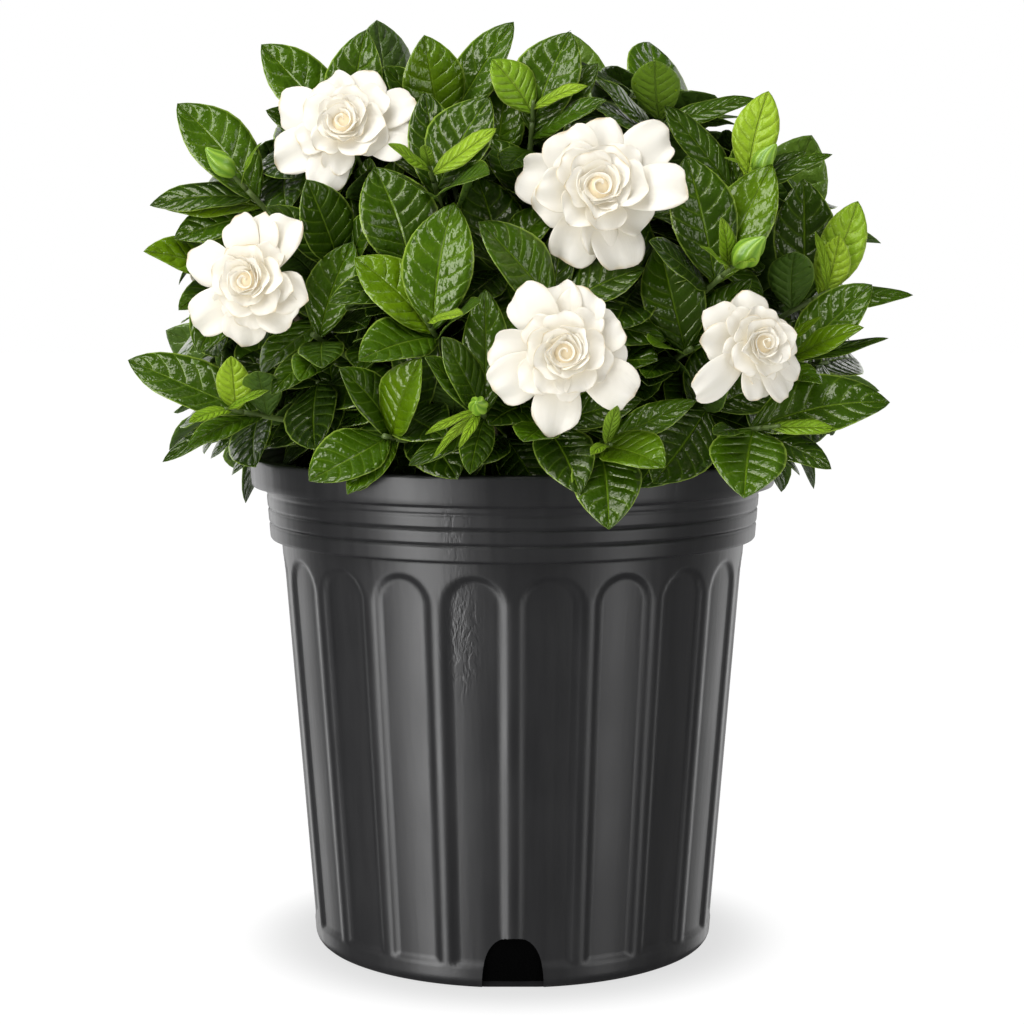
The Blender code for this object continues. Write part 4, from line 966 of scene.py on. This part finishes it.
def petalPart(petals):
    # the midline starts at its rise above the bloom's plane and bends by u^1.3 towards its tip; the half width
    # is u^0.75 * (1 - u^round)^0.5; the sides cup by v^2, the rim rolls back by the seventh power of the way
    # to it, and the blade ripples by sines of the share s of the half width
    form = petalForm
    rows, columns = form["rows"], form["columns"]
    values = {key: np.array([petal[key] for petal in petals], dtype=float)[:, None, None]
              for key in petals[0]}
    root, flat, out = values["root"], values["flat"], values["out"]
    length, width, cup, phase, shade = (values[key] for key in ("length", "width", "cup", "phase", "shade"))
    t = np.linspace(0, 1, rows)
    u = (1 - (1 - t) ** 1.7)[None, :, None]
    v = np.sin(np.linspace(-1, 1, columns) * math.pi / 2)[None, None, :]
    fine = np.linspace(0, 1, 121)[None, :, None]
    angle = np.radians(values["rise"] + values["bend"] * fine ** 1.3)
    pick = np.clip((u[0, :, 0] * 120).astype(int), 0, 120)
    run, climb = (np.cumsum(step, axis=1)[:, pick] / 121 for step in (np.cos(angle), np.sin(angle)))
    here = np.radians(values["rise"] + values["bend"] * u ** 1.3)[..., None]
    ahead = flat * np.cos(here) + out * np.sin(here)
    normal = out * np.cos(here) - flat * np.sin(here)
    side = np.cross(ahead, normal)
    lean = np.radians(values["twist"])[..., None]
    side, normal = side * np.cos(lean) + normal * np.sin(lean), normal * np.cos(lean) - side * np.sin(lean)
    outline = u ** form["rootPower"] * (1 - u ** values["round"]) ** form["tipPower"]
    outline = outline / outline.max(axis=1, keepdims=True)
    half = width / 2 * outline + 0.0006 * (1 - u)
    s = v * outline
    reach = 1 + form["point"] * np.exp(-(s / 0.30) ** 2) - form["lean"] * np.sin(phase * 2 + 4 * s)
    wave = form["ripple"] * np.sin(3.1 * s + phase) + form["quickRipple"] * np.sin(7.3 * s * u + phase * 2.3)
    roll = form["roll"] * np.maximum(np.abs(v), u) ** form["rollPower"] * u
    lift = cup * half * v ** 2 + length * (wave * u ** 2 - roll)
    spot = (root + flat * (length * run * reach)[..., None] + out * (length * climb * reach)[..., None]
            + side * (half * v)[..., None] + normal * lift[..., None])
    skin = normal * (form["thickness"] * mm / 2 * (1 - 0.6 * np.abs(v) ** 3) * (1 - 0.5 * u))[..., None]
    tone = np.clip(shade + (1 - shade) * u ** 0.8, 0, 1)[:, None]
    edge = np.maximum(np.abs(v) * u ** 0.3, 3 * u - 2)
    rim = np.clip((edge - form["rimFrom"]) * form["rimSharp"], 0, 1)
    return surface(np.stack([spot + skin, spot - skin], axis=1),
                   repeatQuads(sheetQuads(rows, columns), 2 * rows * columns, len(petals)),
                   u, (v + 1) / 2, tone, rim)


# shares of the bloom's radius, apart from the turns, the tones and the bulge
heartForm = {
    "turns": 2.6, "radius": 0.21, "top": 0.42, "fall": 0.09, "uneven": 0.022, "foot": -0.05,
    "flare": (0.020, 0.035), "darkest": 0.08, "paler": 0.74,
    "fillRadius": 0.20, "fillBelow": 0.075, "fillFall": 0.50, "fillBulge": 0.62, "fillTone": 0.20,
}


def heartPart(middle, view, radius, roll):
    # a sheet rolled about the bloom's axis: the radius grows with the turn, the rim flares and dips outward
    form = heartForm
    right, above, out = (np.array(way) for way in view)
    turn = np.linspace(0, math.tau * form["turns"], 96)[:, None]
    rise = np.linspace(0, 1, 9)[None, :]
    share = turn / turn.max()
    reach = radius * form["radius"] * (0.06 + 0.94 * share) * (0.80 + 0.26 * rise ** 2)
    flare, more = form["flare"]
    reach = reach * (1 + 0.10 * np.sin(turn * 1.37 + 1)) + radius * (flare + more * share) * rise ** 5
    top = form["top"] - form["fall"] * share + form["uneven"] * np.sin(turn * 2.1)
    height = radius * (form["foot"] + (top - form["foot"]) * rise)
    spoke = spokes(right, above, turn + math.radians(roll))
    spot = np.array(middle) + spoke * reach[..., None] + out * height[..., None]
    skin = spoke * (petalForm["thickness"] * mm / 2 * (1 - 0.5 * rise ** 4))[..., None]
    tone = form["darkest"] + form["paler"] * rise ** 1.5 * (0.7 + 0.3 * share)
    quads = sheetQuads(*reach.shape)[:, ::-1]
    return surface(np.stack([spot + skin, spot - skin]), quads, rise, share * 3, tone)


def heartFill(middle, view, radius):
    # the inner petals under the rims, as a low dome whose height falls with the square of the way out,
    # turned about the bloom's axis
    form = heartForm
    right, above, out = (np.array(way) for way in view)
    share = np.linspace(0, 1, 12)[:, None]
    turn = np.linspace(0, math.tau, 37)[None, :]
    bulge = math.pi * form["fillBulge"]
    reach = radius * form["fillRadius"] * np.sin(share * bulge) / math.sin(bulge)
    reach = np.where(share > 0.8, reach * (1 - (share - 0.8) * 3.2), reach)
    height = radius * (form["top"] - form["fillBelow"] - form["fillFall"] * share ** 2)
    points = np.array(middle) + spokes(right, above, turn) * reach[..., None] + out * height[..., None]
    return surface(points, gridQuads(12, 37)[:, ::-1], tone=form["fillTone"])


def bloomPetals(middle, view, roll, radius, outer, draw):
    # outer petals where they are seen, or else evenly round, then the inner rings, each value with its draw
    form = petalForm
    right, above, out = view
    petals = []

    def addPetal(clock, reach, width, rise, bend, cup, lift, shade, rounding):
        turn = math.radians(clock)
        flat = right * math.sin(turn) + above * math.cos(turn)
        root = middle + out * (lift * radius) + flat * (0.05 * radius)
        petals.append({"root": tuple(root), "flat": tuple(flat), "out": tuple(out), "length": reach,
                       "width": width, "rise": rise, "bend": bend, "cup": cup,
                       "phase": draw.uniform(0, math.tau), "twist": draw.uniform(0.5, 1.3) * form["twist"],
                       "shade": shade, "round": rounding})

    outer = outer or [(roll + 360 * i / form["outer"] + draw.uniform(-6, 6),
                       radius / mm * draw.uniform(0.94, 1.04)) for i in range(form["outer"])]
    for clock, reach, *more in outer:
        rise = form["outerRise"] + draw.uniform(-5, 5) + sum(more)
        addPetal(clock, reach * mm * 0.97, radius * form["outerWidth"] * draw.uniform(0.92, 1.06), rise,
                 form["outerBend"] + draw.uniform(-8, 6), form["outerCup"], form["outerLift"],
                 form["outerTone"], draw.uniform(2.4, 3.4))
    for number, (count, reach, ratio, rise, bend, cup, lift, offset, rounding) in enumerate(petalRings):
        for i in range(count):
            addPetal(roll + offset + 360 * i / count + draw.uniform(-14, 14),
                     radius * reach * draw.uniform(0.87, 1.09),
                     radius * reach * ratio * draw.uniform(0.86, 1.12),
                     rise + draw.uniform(-7, 7), bend + draw.uniform(-10, 10), cup, lift,
                     0.40 - 0.07 * number, rounding * draw.uniform(0.8, 1.1))
    return petals


# lengths in mm by the name of the shoot that ends in the bud, and how deep in mm the bud sits on its stem
budForm = {"lengths": {"f": 21, "s": 25, "n": 17, "e": 19}, "wind": 1.5, "ribs": 6, "ribHeight": 0.09,
           "root": 0.035, "swell": 0.25, "sunk": 2}


def budPart(base, along, length, slot):
    # a spindle of radius length * (0.035 + 0.25 * sin(pi * t^0.85)^1.15 * (1 - 0.25 * t)), closed at both
    # ends, with six ribs that wind by 1.5 radians as they rise
    form = budForm
    side = along.cross(Vector((0.3, 0.5, 1))).normalized()
    other = side.cross(along)
    t = np.linspace(0, 1, 22)[:, None]
    turn = np.linspace(0, math.tau, 37)[None, :]
    swell = form["root"] + form["swell"] * np.sin(math.pi * t ** 0.85) ** 1.15 * (1 - 0.25 * t)
    ribs = 1 + form["ribHeight"] * np.cos(form["ribs"] * turn)
    radius = length * swell * ribs * np.minimum(1, np.minimum(t, 1 - t) * 40)
    spoke = spokes(np.array(side), np.array(other), turn + form["wind"] * t)
    points = np.array(base) + np.array(along) * (length * t)[..., None] + spoke * radius[..., None]
    return surface(points, gridQuads(22, 37), t, turn / math.tau, slot=slot)


# shoots, tips and blooms in place of their solids

def facingWay(azimuth, elevation):
    # the unit way to an azimuth and an elevation in degrees
    rise = math.radians(elevation)
    return polar(math.cos(rise), azimuth, math.sin(rise))


plans = shootPlan()
bloomOf = {spec[0]: spec for spec in blooms}
stemPaths = {}
found = wanted = 0
for number, (name, end, away, outward, mature, young) in enumerate(plans, 1):
    path = [end - away * plant["stem"] * mm, end]
    if name in bloomOf:
        _, centre, azimuth, elevation, _, radius, _ = bloomOf[name]
        facing = facingWay(azimuth, elevation)
        neck = Vector(centre) * mm - facing * (radius * plant["neck"] * mm)
        path += [neck - facing * 4 * mm, neck]
    stemPaths[name] = path
    node = "leafy_stem_%02d" % number
    bases = [end - away * (plant["firstLeaf"] + plant["leafStep"] * n) * mm for n in range(len(mature))]
    leaves = findLeaves(node, outward, bases, mature, ("mature", "side"), outward is not frontWay)
    found += len(leaves)
    wanted += len(mature)
    stem = tubePart(path, [plant["stemRadius"] * mm] * len(path), 10, slot=1, rings=14)
    shoot = makePiece("leafyShoot_%02d" % number, [leafPart(leaves), stem], [matureLeaf, greenStem])
    settle(shoot, "leaf_green", node)
print("leafy shoots made:", found, "of", wanted, "leaves found")

found = wanted = 0
for number, (name, end, away, outward, mature, young) in enumerate((plan for plan in plans if plan[-1]), 1):
    node = "young_tip_%02d" % number
    tipBase = stemPaths[name][-1] + away * plant["gap"] * mm
    tipEnd = tipBase + away * plant["tip"] * mm
    bases = [tipBase + away * (plant["tipFirstLeaf"] + plant["tipLeafStep"] * (n % 3)) * mm
             for n in range(len(young))]
    leaves = findLeaves(node, outward, bases, young, ("young", "young"))
    found += len(leaves)
    wanted += len(young)
    parts = [tubePart([tipBase, tipEnd], [radius * mm for radius in plant["tipRadii"]], 10, slot=1, rings=6)]
    if leaves:
        parts.append(leafPart(leaves))
    if name in budForm["lengths"]:
        length = budForm["lengths"][name] * mm
        parts.append(budPart(tipEnd - away * budForm["sunk"] * mm, away, length, 2))
    tip = makePiece("youngTip_%02d" % number, parts, [youngLeaf, greenStem, budGreen])
    settle(tip, "young_green", node)
print("young tips made:", found, "of", wanted, "leaves found")

for number, (name, centre, azimuth, elevation, roll, radius, outer) in enumerate(blooms, 1):
    facing = facingWay(azimuth, elevation)
    view = viewFrame(facing)
    middle = Vector(centre) * mm
    petals = petalPart(bloomPetals(middle, view, roll, radius * mm, outer, random.Random(number + 20)))
    petals["tone"] = petals["tone"] * petalForm["creamier"].get(name, 1)
    path = [middle - facing * (radius * plant["neck"] * mm), middle - facing * 8 * mm, middle]
    radii = [wide * mm for wide in (*plant["throat"], radius * plant["throatTop"])]
    throat = tubePart(path, radii, 14, tone=0.3, rings=8)
    heart = heartPart(middle, view, radius * mm, roll)
    fill = heartFill(middle, view, radius * mm)
    bloom = makePiece("bloom_%d_petals" % number, [petals, heart, fill, throat], [petalWhite])
    settle(bloom, "petal", "bloom_%02d" % number)
print("blooms made:", len(blooms))


# branches

branchForm = {
    # millimetres: where the trunk stands and forks, its radius, the limbs round it and the one in the middle
    "trunkFoot": 192, "fork": 252, "trunkRadius": 6.4, "limbs": 6, "firstLimb": 30, "limbFoot": 4,
    "limbKnee": (26, 266), "limbEnd": (66, 322), "limbRadii": (4.5, 2.7),
    "middleLimb": ((3, 4, 320), (-2, 8, 388)),
    # a side limb to each shoot: how many starts are tried, how far back along the limb each lies, how far
    # under the shoot the knee may be, the least of it, and the radii
    "starts": 9, "back": 0.12, "pulls": (0.35, 0.2, 0.6), "leastPull": 5, "sideRadii": (2.7, 2.2, 1.8),
    # the solid's knee is a ring of corners at this distance from the right knee, give or take
    "kneeRadius": 2.4, "kneeMargin": 0.12, "kneeLook": 2.7,
}


def curveThrough(start, control, end, count):
    # a quadratic curve from start to end that leans towards control
    return [start * (1 - t) ** 2 + control * 2 * t * (1 - t) + end * t ** 2 for t in np.linspace(0, 1, count)]


def mainLimbs():
    # curves from the fork up and outwards all round, and a path up the middle
    form = branchForm
    foot = Vector((0, 0, form["fork"])) * mm - skyward * form["limbFoot"] * mm
    ends = []
    for i in range(form["limbs"]):
        azimuth = form["firstLimb"] + 360 * i / form["limbs"]
        knee, end = (polar(radius * mm, azimuth, z * mm) for radius, z in (form["limbKnee"], form["limbEnd"]))
        ends.append(curveThrough(foot, knee, end, 4))
    return ends + [[foot, *(Vector(place) * mm for place in form["middleLimb"])]]


def sideLimb(shootPath, corners):
    # of the ways from the nearest limbs to the shoot's foot, the one whose knee the solid has
    form = branchForm
    ahead = (shootPath[1] - shootPath[0]).normalized()
    foot = shootPath[0] - ahead * plant["gap"] * mm
    starts = sorted(((p - foot).length + 2.0 * max(0.0, p.z - foot.z), n, i)
                    for n, limb in enumerate(limbs) for i, p in enumerate(limb) if i)
    ways = []
    for _, n, i in starts[:form["starts"]]:
        start = limbs[n][i].lerp(limbs[n][i - 1], form["back"])
        for pull in form["pulls"]:
            knee = foot - ahead * max(form["leastPull"] * mm, (foot - start).length * pull)
            ring = [hit for hit in corners.find_range(knee, form["kneeLook"] * mm)
                    if abs(hit[2] - form["kneeRadius"] * mm) < form["kneeMargin"] * mm]
            ways.append((-len(ring), len(ways), [start, knee, foot]))
    return min(ways)[2]


limbs = mainLimbs()
trunk = [Vector((0, 0, branchForm[key])) * mm for key in ("trunkFoot", "fork")]
parts = [tubePart(trunk, [branchForm["trunkRadius"] * mm] * 2, 18, wobble=0.05, rings=12)]
for limb in limbs:
    radii = np.linspace(*branchForm["limbRadii"], len(limb)) * mm
    parts.append(tubePart(limb, radii, 14, wobble=0.06, rings=16))
woodCorners = cornerTree("woody_stems")
sideRadii = [radius * mm for radius in branchForm["sideRadii"]]
for plan in plans:
    parts.append(tubePart(sideLimb(stemPaths[plan[0]], woodCorners), sideRadii, 10, wobble=0.05, rings=12))
branches = makePiece("branches", parts, [barkBrown])
settle(branches, "bark", "woody_stems")
print("branches made")


# more leafy twigs inside the bush, clear of all that stands

fillForm = {
    # outline of the bush in mm and its power, and how far apart in mm the leaves stay
    "halfWidth": 190, "above": 176, "below": 66, "middle": 300, "power": 2.3, "clear": 1.3,
    # twigs, share of the way out, leaves a twig, flatness, lowest and highest direction, leaf length in mm
    "layers": ((76, 0.50, 6, 0.84, -0.30, 0.98, (46, 60)), (84, 0.72, 6, 0.80, -0.30, 0.98, (46, 60)),
               (110, 0.78, 5, 0.78, -0.52, 0.30, (36, 54)), (60, 0.86, 5, 0.74, 0.25, 0.95, (34, 50))),
    # ends of twigs in mm where the photograph shows leaves between the shoots, and what each of them carries
    "extra": ((-150, -58, 345), (-134, -40, 372), (-116, -62, 420), (-146, -58, 398), (160, -52, 312),
              (-128, -70, 290), (150, -40, 392), (60, -52, 448), (-96, -96, 304), (-52, -126, 290),
              (96, -112, 292), (122, -84, 302)),
    "extraKind": (6, 0.88, (40, 56)),
    # sizes, turns and changes of flatness that are tried for a leaf, its width as a share of its length, its
    # droop and fold, and the step from leaf to leaf down the twig
    "sizes": (1.0, 0.85, 0.7), "turns": (0, 14, -14, 28, -28, 44, -44), "flatter": (0, -0.22, 0.14),
    "width": 0.58, "droop": 0.14, "fold": 0.08, "leafStep": 2.5,
    # tones: darkest, how much brighter the brightest is, power of the draw, and share for the extra twigs; the
    # low tones are partly the inner leaves' own dark green and partly painted shade inside the bush
    "tones": (0.04, 0.40, 1.9), "extraTone": 0.4,
    # no twig ends lower than lowest, and those near the axis are lifted; gaps keep each layer's ends apart;
    # past the first layer, ends within so many degrees of the front stand back by a share
    "lowest": 262, "lift": 268, "liftWithin": 135, "gaps": (21, 21, 16, 16),
    "front": 75, "frontBack": 0.16, "twigRadii": (1.7, 1.1), "twigBend": 0.7,
}
bushMiddle = Vector((0, 0, fillForm["middle"])) * mm


def coarseBlade(base, along, lift, length, width, droop, thick):
    # twenty triangles that hold a leaf, for trying it against the others
    across = along.cross(lift)
    points = []
    for t, share in ((0.0, 0.0), (0.32, 0.78), (0.66, 1.0), (1.0, 0.0)):
        spot = base + along * (length * t) - lift * (droop * length * t * t)
        for sign in ((0,) if share == 0 else (1, -1)):
            points.append(spot + across * (sign * share * width / 2))
    verts = [p + lift * thick / 2 for p in points] + [p - lift * thick / 2 for p in points]
    tris = [(0, 1, 2), (1, 3, 4), (1, 4, 2), (3, 5, 4)]
    edge = [0, 1, 3, 5, 4, 2]
    faces = tris + [(c + 6, b + 6, a + 6) for a, b, c in tris]
    for p, q in zip(edge, edge[1:] + edge[:1]):
        faces += [(q, p, p + 6), (q, p + 6, q + 6)]
    return verts, faces


def ball(verts):
    # middle and radius of a ball that holds the points
    middle = sum(verts, Vector()) / len(verts)
    return middle, max((v - middle).length for v in verts)


class Standing:
    # what already stands, as search trees with a ball round each

    def __init__(self):
        self.things = []

    def add(self, verts, faces):
        self.things.append((*ball(verts), BVHTree.FromPolygons(verts, faces)))

    def crossed(self, verts, faces):
        middle, reach = ball(verts)
        tree = None
        for there, far, standing in self.things:
            if (there - middle).length > reach + far:
                continue
            tree = tree or BVHTree.FromPolygons(verts, faces)
            if tree.overlap(standing):
                return True
        return False


def bushReach(way):
    # distance from the bush's middle to its rounded-box outline, |x / a|^n + |z / c|^n = 1
    form = fillForm
    flat = math.hypot(way.x, way.y) / form["halfWidth"]
    tall = abs(way.z) / (form["above"] if way.z > 0 else form["below"])
    return mm / (flat ** form["power"] + tall ** form["power"]) ** (1 / form["power"])


def twigEnds(ends):
    # whether extra, end, azimuth, number of leaves, flatness and lengths of each twig; ends holds those taken
    form = fillForm
    for place in form["extra"]:
        end = Vector(place) * mm
        yield (True, end, math.degrees(math.atan2(end.x, -end.y)), *form["extraKind"])
    for layer, (count, share, perTwig, flatness, low, high, lengths) in enumerate(form["layers"]):
        for k in range(count):
            z = low + (high - low) * (k + 0.5) / count
            azimuth = (k * 137.508 + 60 * layer) % 360
            front = layer > 0 and abs((azimuth + 180) % 360 - 180) < form["front"]
            way = polar(math.sqrt(max(0.0, 1 - z * z)), azimuth, z)
            end = bushMiddle + way * (bushReach(way) * (share - (form["frontBack"] if front else 0.0)))
            if math.hypot(end.x, end.y) < form["liftWithin"] * mm and end.z < form["lift"] * mm:
                end.z = form["lift"] * mm
            gap = min((end - other).length for other in ends)
            if end.z >= form["lowest"] * mm and gap >= form["gaps"][layer] * mm:
                yield False, end, azimuth, perTwig, flatness, lengths


def placeLeaf(standing, base, view, clock, real, flatness, tone):
    # the first try that stays inside the bush's outline and clear of all that stands, or nothing
    form = fillForm
    tries = ((size, turn, flatness + more)
             for size in form["sizes"] for turn in form["turns"] for more in form["flatter"])
    for size, turn, flat in tries:
        along = leafDirection(view, clock + turn, real * flat, real)
        lift = leafNormal(along, view[2])
        length = real * size * mm
        width = length * form["width"]
        way = base + along * length - bushMiddle
        if way.length > bushReach(way.normalized()) * 0.99:
            continue
        blade = coarseBlade(base + along * 0.06 * length, along, lift, length * 0.94, width, form["droop"],
                            form["clear"] * mm)
        if standing.crossed(*blade):
            continue
        standing.add(*coarseBlade(base, along, lift, length, width, form["droop"], 0.5 * mm))
        return base, along, lift, length, width, form["droop"], form["fold"], clock * 0.37, tone
    return None


def twigPart(end, away):
    # from the nearest limb, rather one below than one above, in a curve that ends along the twig's own way
    near = min((p for limb in limbs for p in limb[1:]),
               key=lambda p: (p - end).length + 2 * max(0.0, p.z - end.z))
    halfWay = near.lerp(end, 0.5)
    bend = halfWay + (end - away * (end - near).length * 0.5 - halfWay) * fillForm["twigBend"]
    path = curveThrough(near, bend, end + away * 1.0 * mm, 9)
    return tubePart(path, np.linspace(*fillForm["twigRadii"], 9) * mm, 8)


def fillBush():
    # twigs with leaves wherever there is room among all that stands; a twig without a leaf isn't made
    form = fillForm
    standing = Standing()
    for name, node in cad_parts.items():
        if name != "potting_soil":
            standing.add([v.co.copy() for v in node.data.vertices],
                         [tuple(p.vertices) for p in node.data.polygons])
    draw = random.Random(31)
    ends = [plan[1] for plan in plans]
    darkest, brighter, power = form["tones"]
    leaves, twigs = [], []
    for extra, end, azimuth, perTwig, flatness, lengths in twigEnds(ends):
        ends.append(end)
        away = (end - Vector(plant["heart"]) * mm * 0.98).normalized()
        view = viewFrame((away + polar(0.30, azimuth, 0)).normalized())
        start = draw.uniform(0, 360)
        grown = []
        for n in range(perTwig):
            real = draw.uniform(*lengths)
            clock = start + 137.5 * n + draw.uniform(-15, 15)
            base = end - away * (form["leafStep"] * n) * mm
            # painted shade in part: inner leaves draw dark tones, and the extra twigs' tones are cut further
            tone = (darkest + brighter * draw.random() ** power) * (form["extraTone"] if extra else 1)
            leaf = placeLeaf(standing, base, view, clock, real, flatness, tone)
            if leaf:
                grown.append(leaf)
        if grown:
            leaves += grown
            twigs.append(twigPart(end, away))
    return leaves, twigs


leaves, twigs = fillBush()
half = (len(leaves) + 1) // 2
for number, some in enumerate((leaves[:half], leaves[half:]), 1):
    settle(makePiece("innerLeaves_%d" % number, [leafPart(some, 11)], [matureLeaf]), "leaf_green")
settle(makePiece("innerTwigs", twigs, [greenStem]), "leaf_green")
print("inner twigs:", len(twigs), "with", len(leaves), "leaves")


# studio

studio = {
    "camera": {"distance": 1.2541, "height": 0.3588, "pitch": 5.866, "lens": 82.69, "sensor": 36.0,
               "shift": -0.8 / 1024},
    # name, azimuth, distance, lowest and highest edge, width, watts for each square metre, lights matt
    # surfaces too
    "softboxes": (
        ("softboxLeft", -43, 1.9, -0.9, 2.0, 0.85, 11.0, True),
        ("softboxRight", 51, 1.9, -0.8, 1.6, 0.60, 5.0, True),
        ("panelLeftBack", -141, 2.0, -0.8, 1.6, 1.2, 5.0, True),
        ("panelRightBack", 141, 2.0, -0.8, 1.6, 1.2, 4.6, True),
        ("panelRight", 110, 2.0, -0.8, 1.6, 0.9, 0.7, False),
        ("stripLeft", -43, 1.85, -0.9, 1.7, 0.60, 15.0, False),
        ("stripRight", 51, 1.85, -0.8, 1.4, 0.45, 6.0, False),
    ),
    "top": {"place": (-0.45, -0.70, 1.70), "target": (0, 0, 0.35), "size": 1.0, "watts": 21.0},
    # light from the surroundings as the camera sees it, as gloss sees it, and for the rest
    "world": {"seen": 1.0, "gloss": 0.06, "rest": 0.20},
    # how the floor glows at the first reach from the middle and past the second one, over a dull dark shade;
    # the weaker glow near the pot is a painted shadow round its foot
    "floor": {"half": 9, "drop": 0.0004, "shade": 0.05, "roughness": 0.9, "reach": (0.104, 0.158),
              "glow": (0.72, 1.0)},
}


def aim(thing, place, target):
    # put the thing at the place and turn its own -Z to the target
    way = (Vector(target) - Vector(place)).normalized()
    thing.matrix_world = Matrix.Translation(place) @ way.to_track_quat("-Z", "Y").to_matrix().to_4x4()


def addLight(name, wide, tall, watts, place, target, mattToo=True):
    light = bpy.data.lights.new(name, "AREA")
    light.shape = "RECTANGLE"
    light.size, light.size_y, light.energy = wide, tall, watts
    lamp = addObject(name, light)
    lamp.visible_camera = False
    lamp.visible_diffuse = mattToo
    aim(lamp, place, target)


def addCamera():
    view = studio["camera"]
    lens = bpy.data.cameras.new("camera")
    lens.sensor_width = view["sensor"]
    lens.lens = view["lens"]
    lens.shift_x = view["shift"]
    camera = addObject("camera", lens)
    camera.location = (0, -view["distance"], view["height"])
    camera.rotation_euler = (math.radians(90 - view["pitch"]), 0, 0)
    bpy.context.scene.camera = camera


def addLights():
    for name, azimuth, distance, low, high, wide, strength, mattToo in studio["softboxes"]:
        middle = (low + high) / 2
        place = polar(distance, azimuth, middle)
        addLight(name, wide, high - low, strength * wide * (high - low), place, (0, 0, middle), mattToo)
    top = studio["top"]
    addLight("softboxTop", top["size"], top["size"], top["watts"], top["place"], top["target"])


def addWorld():
    # white light all round, of another strength for each kind of ray
    world = bpy.data.worlds.new("studioWorld")
    bpy.context.scene.world = world
    world.use_nodes = True
    tree = world.node_tree
    tree.nodes.clear()
    ray = addNode(tree, "ShaderNodeLightPath").outputs
    glow = {key: addNode(tree, "ShaderNodeBackground", {0: (1, 1, 1, 1), 1: value}).outputs[0]
            for key, value in studio["world"].items()}
    lit = glow["rest"]
    for kind, key in (("Is Glossy Ray", "gloss"), ("Is Camera Ray", "seen")):
        lit = addNode(tree, "ShaderNodeMixShader", {0: ray[kind], 1: lit, 2: glow[key]}).outputs[0]
    addNode(tree, "ShaderNodeOutputWorld", {0: lit})


def addFloor():
    # a large square that glows white, less so near the pot as a painted shadow round its foot; gloss doesn't
    # see it, and it casts no shadow
    form = studio["floor"]
    half = form["half"]
    mesh = bpy.data.meshes.new("floor")
    corners = [(-half, -half, 0), (half, -half, 0), (half, half, 0), (-half, half, 0)]
    mesh.from_pydata(corners, [], [(0, 1, 2, 3)])
    floor = addObject("floor", mesh)
    floor.location.z = -form["drop"]
    floor.visible_glossy = False
    floor.visible_shadow = False
    finish = Finish("paleFloor")
    away = finish.length(finish.place((1, 1, 0)))
    # painted shadow: the glow is weaker near the pot's foot
    glow = finish.between(away, form["reach"], form["glow"], interpolation_type="SMOOTHSTEP")
    shade = form["shade"]
    finish.set({"Base Color": (shade, shade, shade, 1), "Roughness": form["roughness"],
                "Specular IOR Level": 0.0, "Emission Color": (1, 1, 1, 1), "Emission Strength": glow})
    mesh.materials.append(finish.material)


addCamera()
addLights()
addWorld()
addFloor()
settings = bpy.context.scene.view_settings
settings.view_transform = "Standard"
settings.look = "None"
print("studio made")
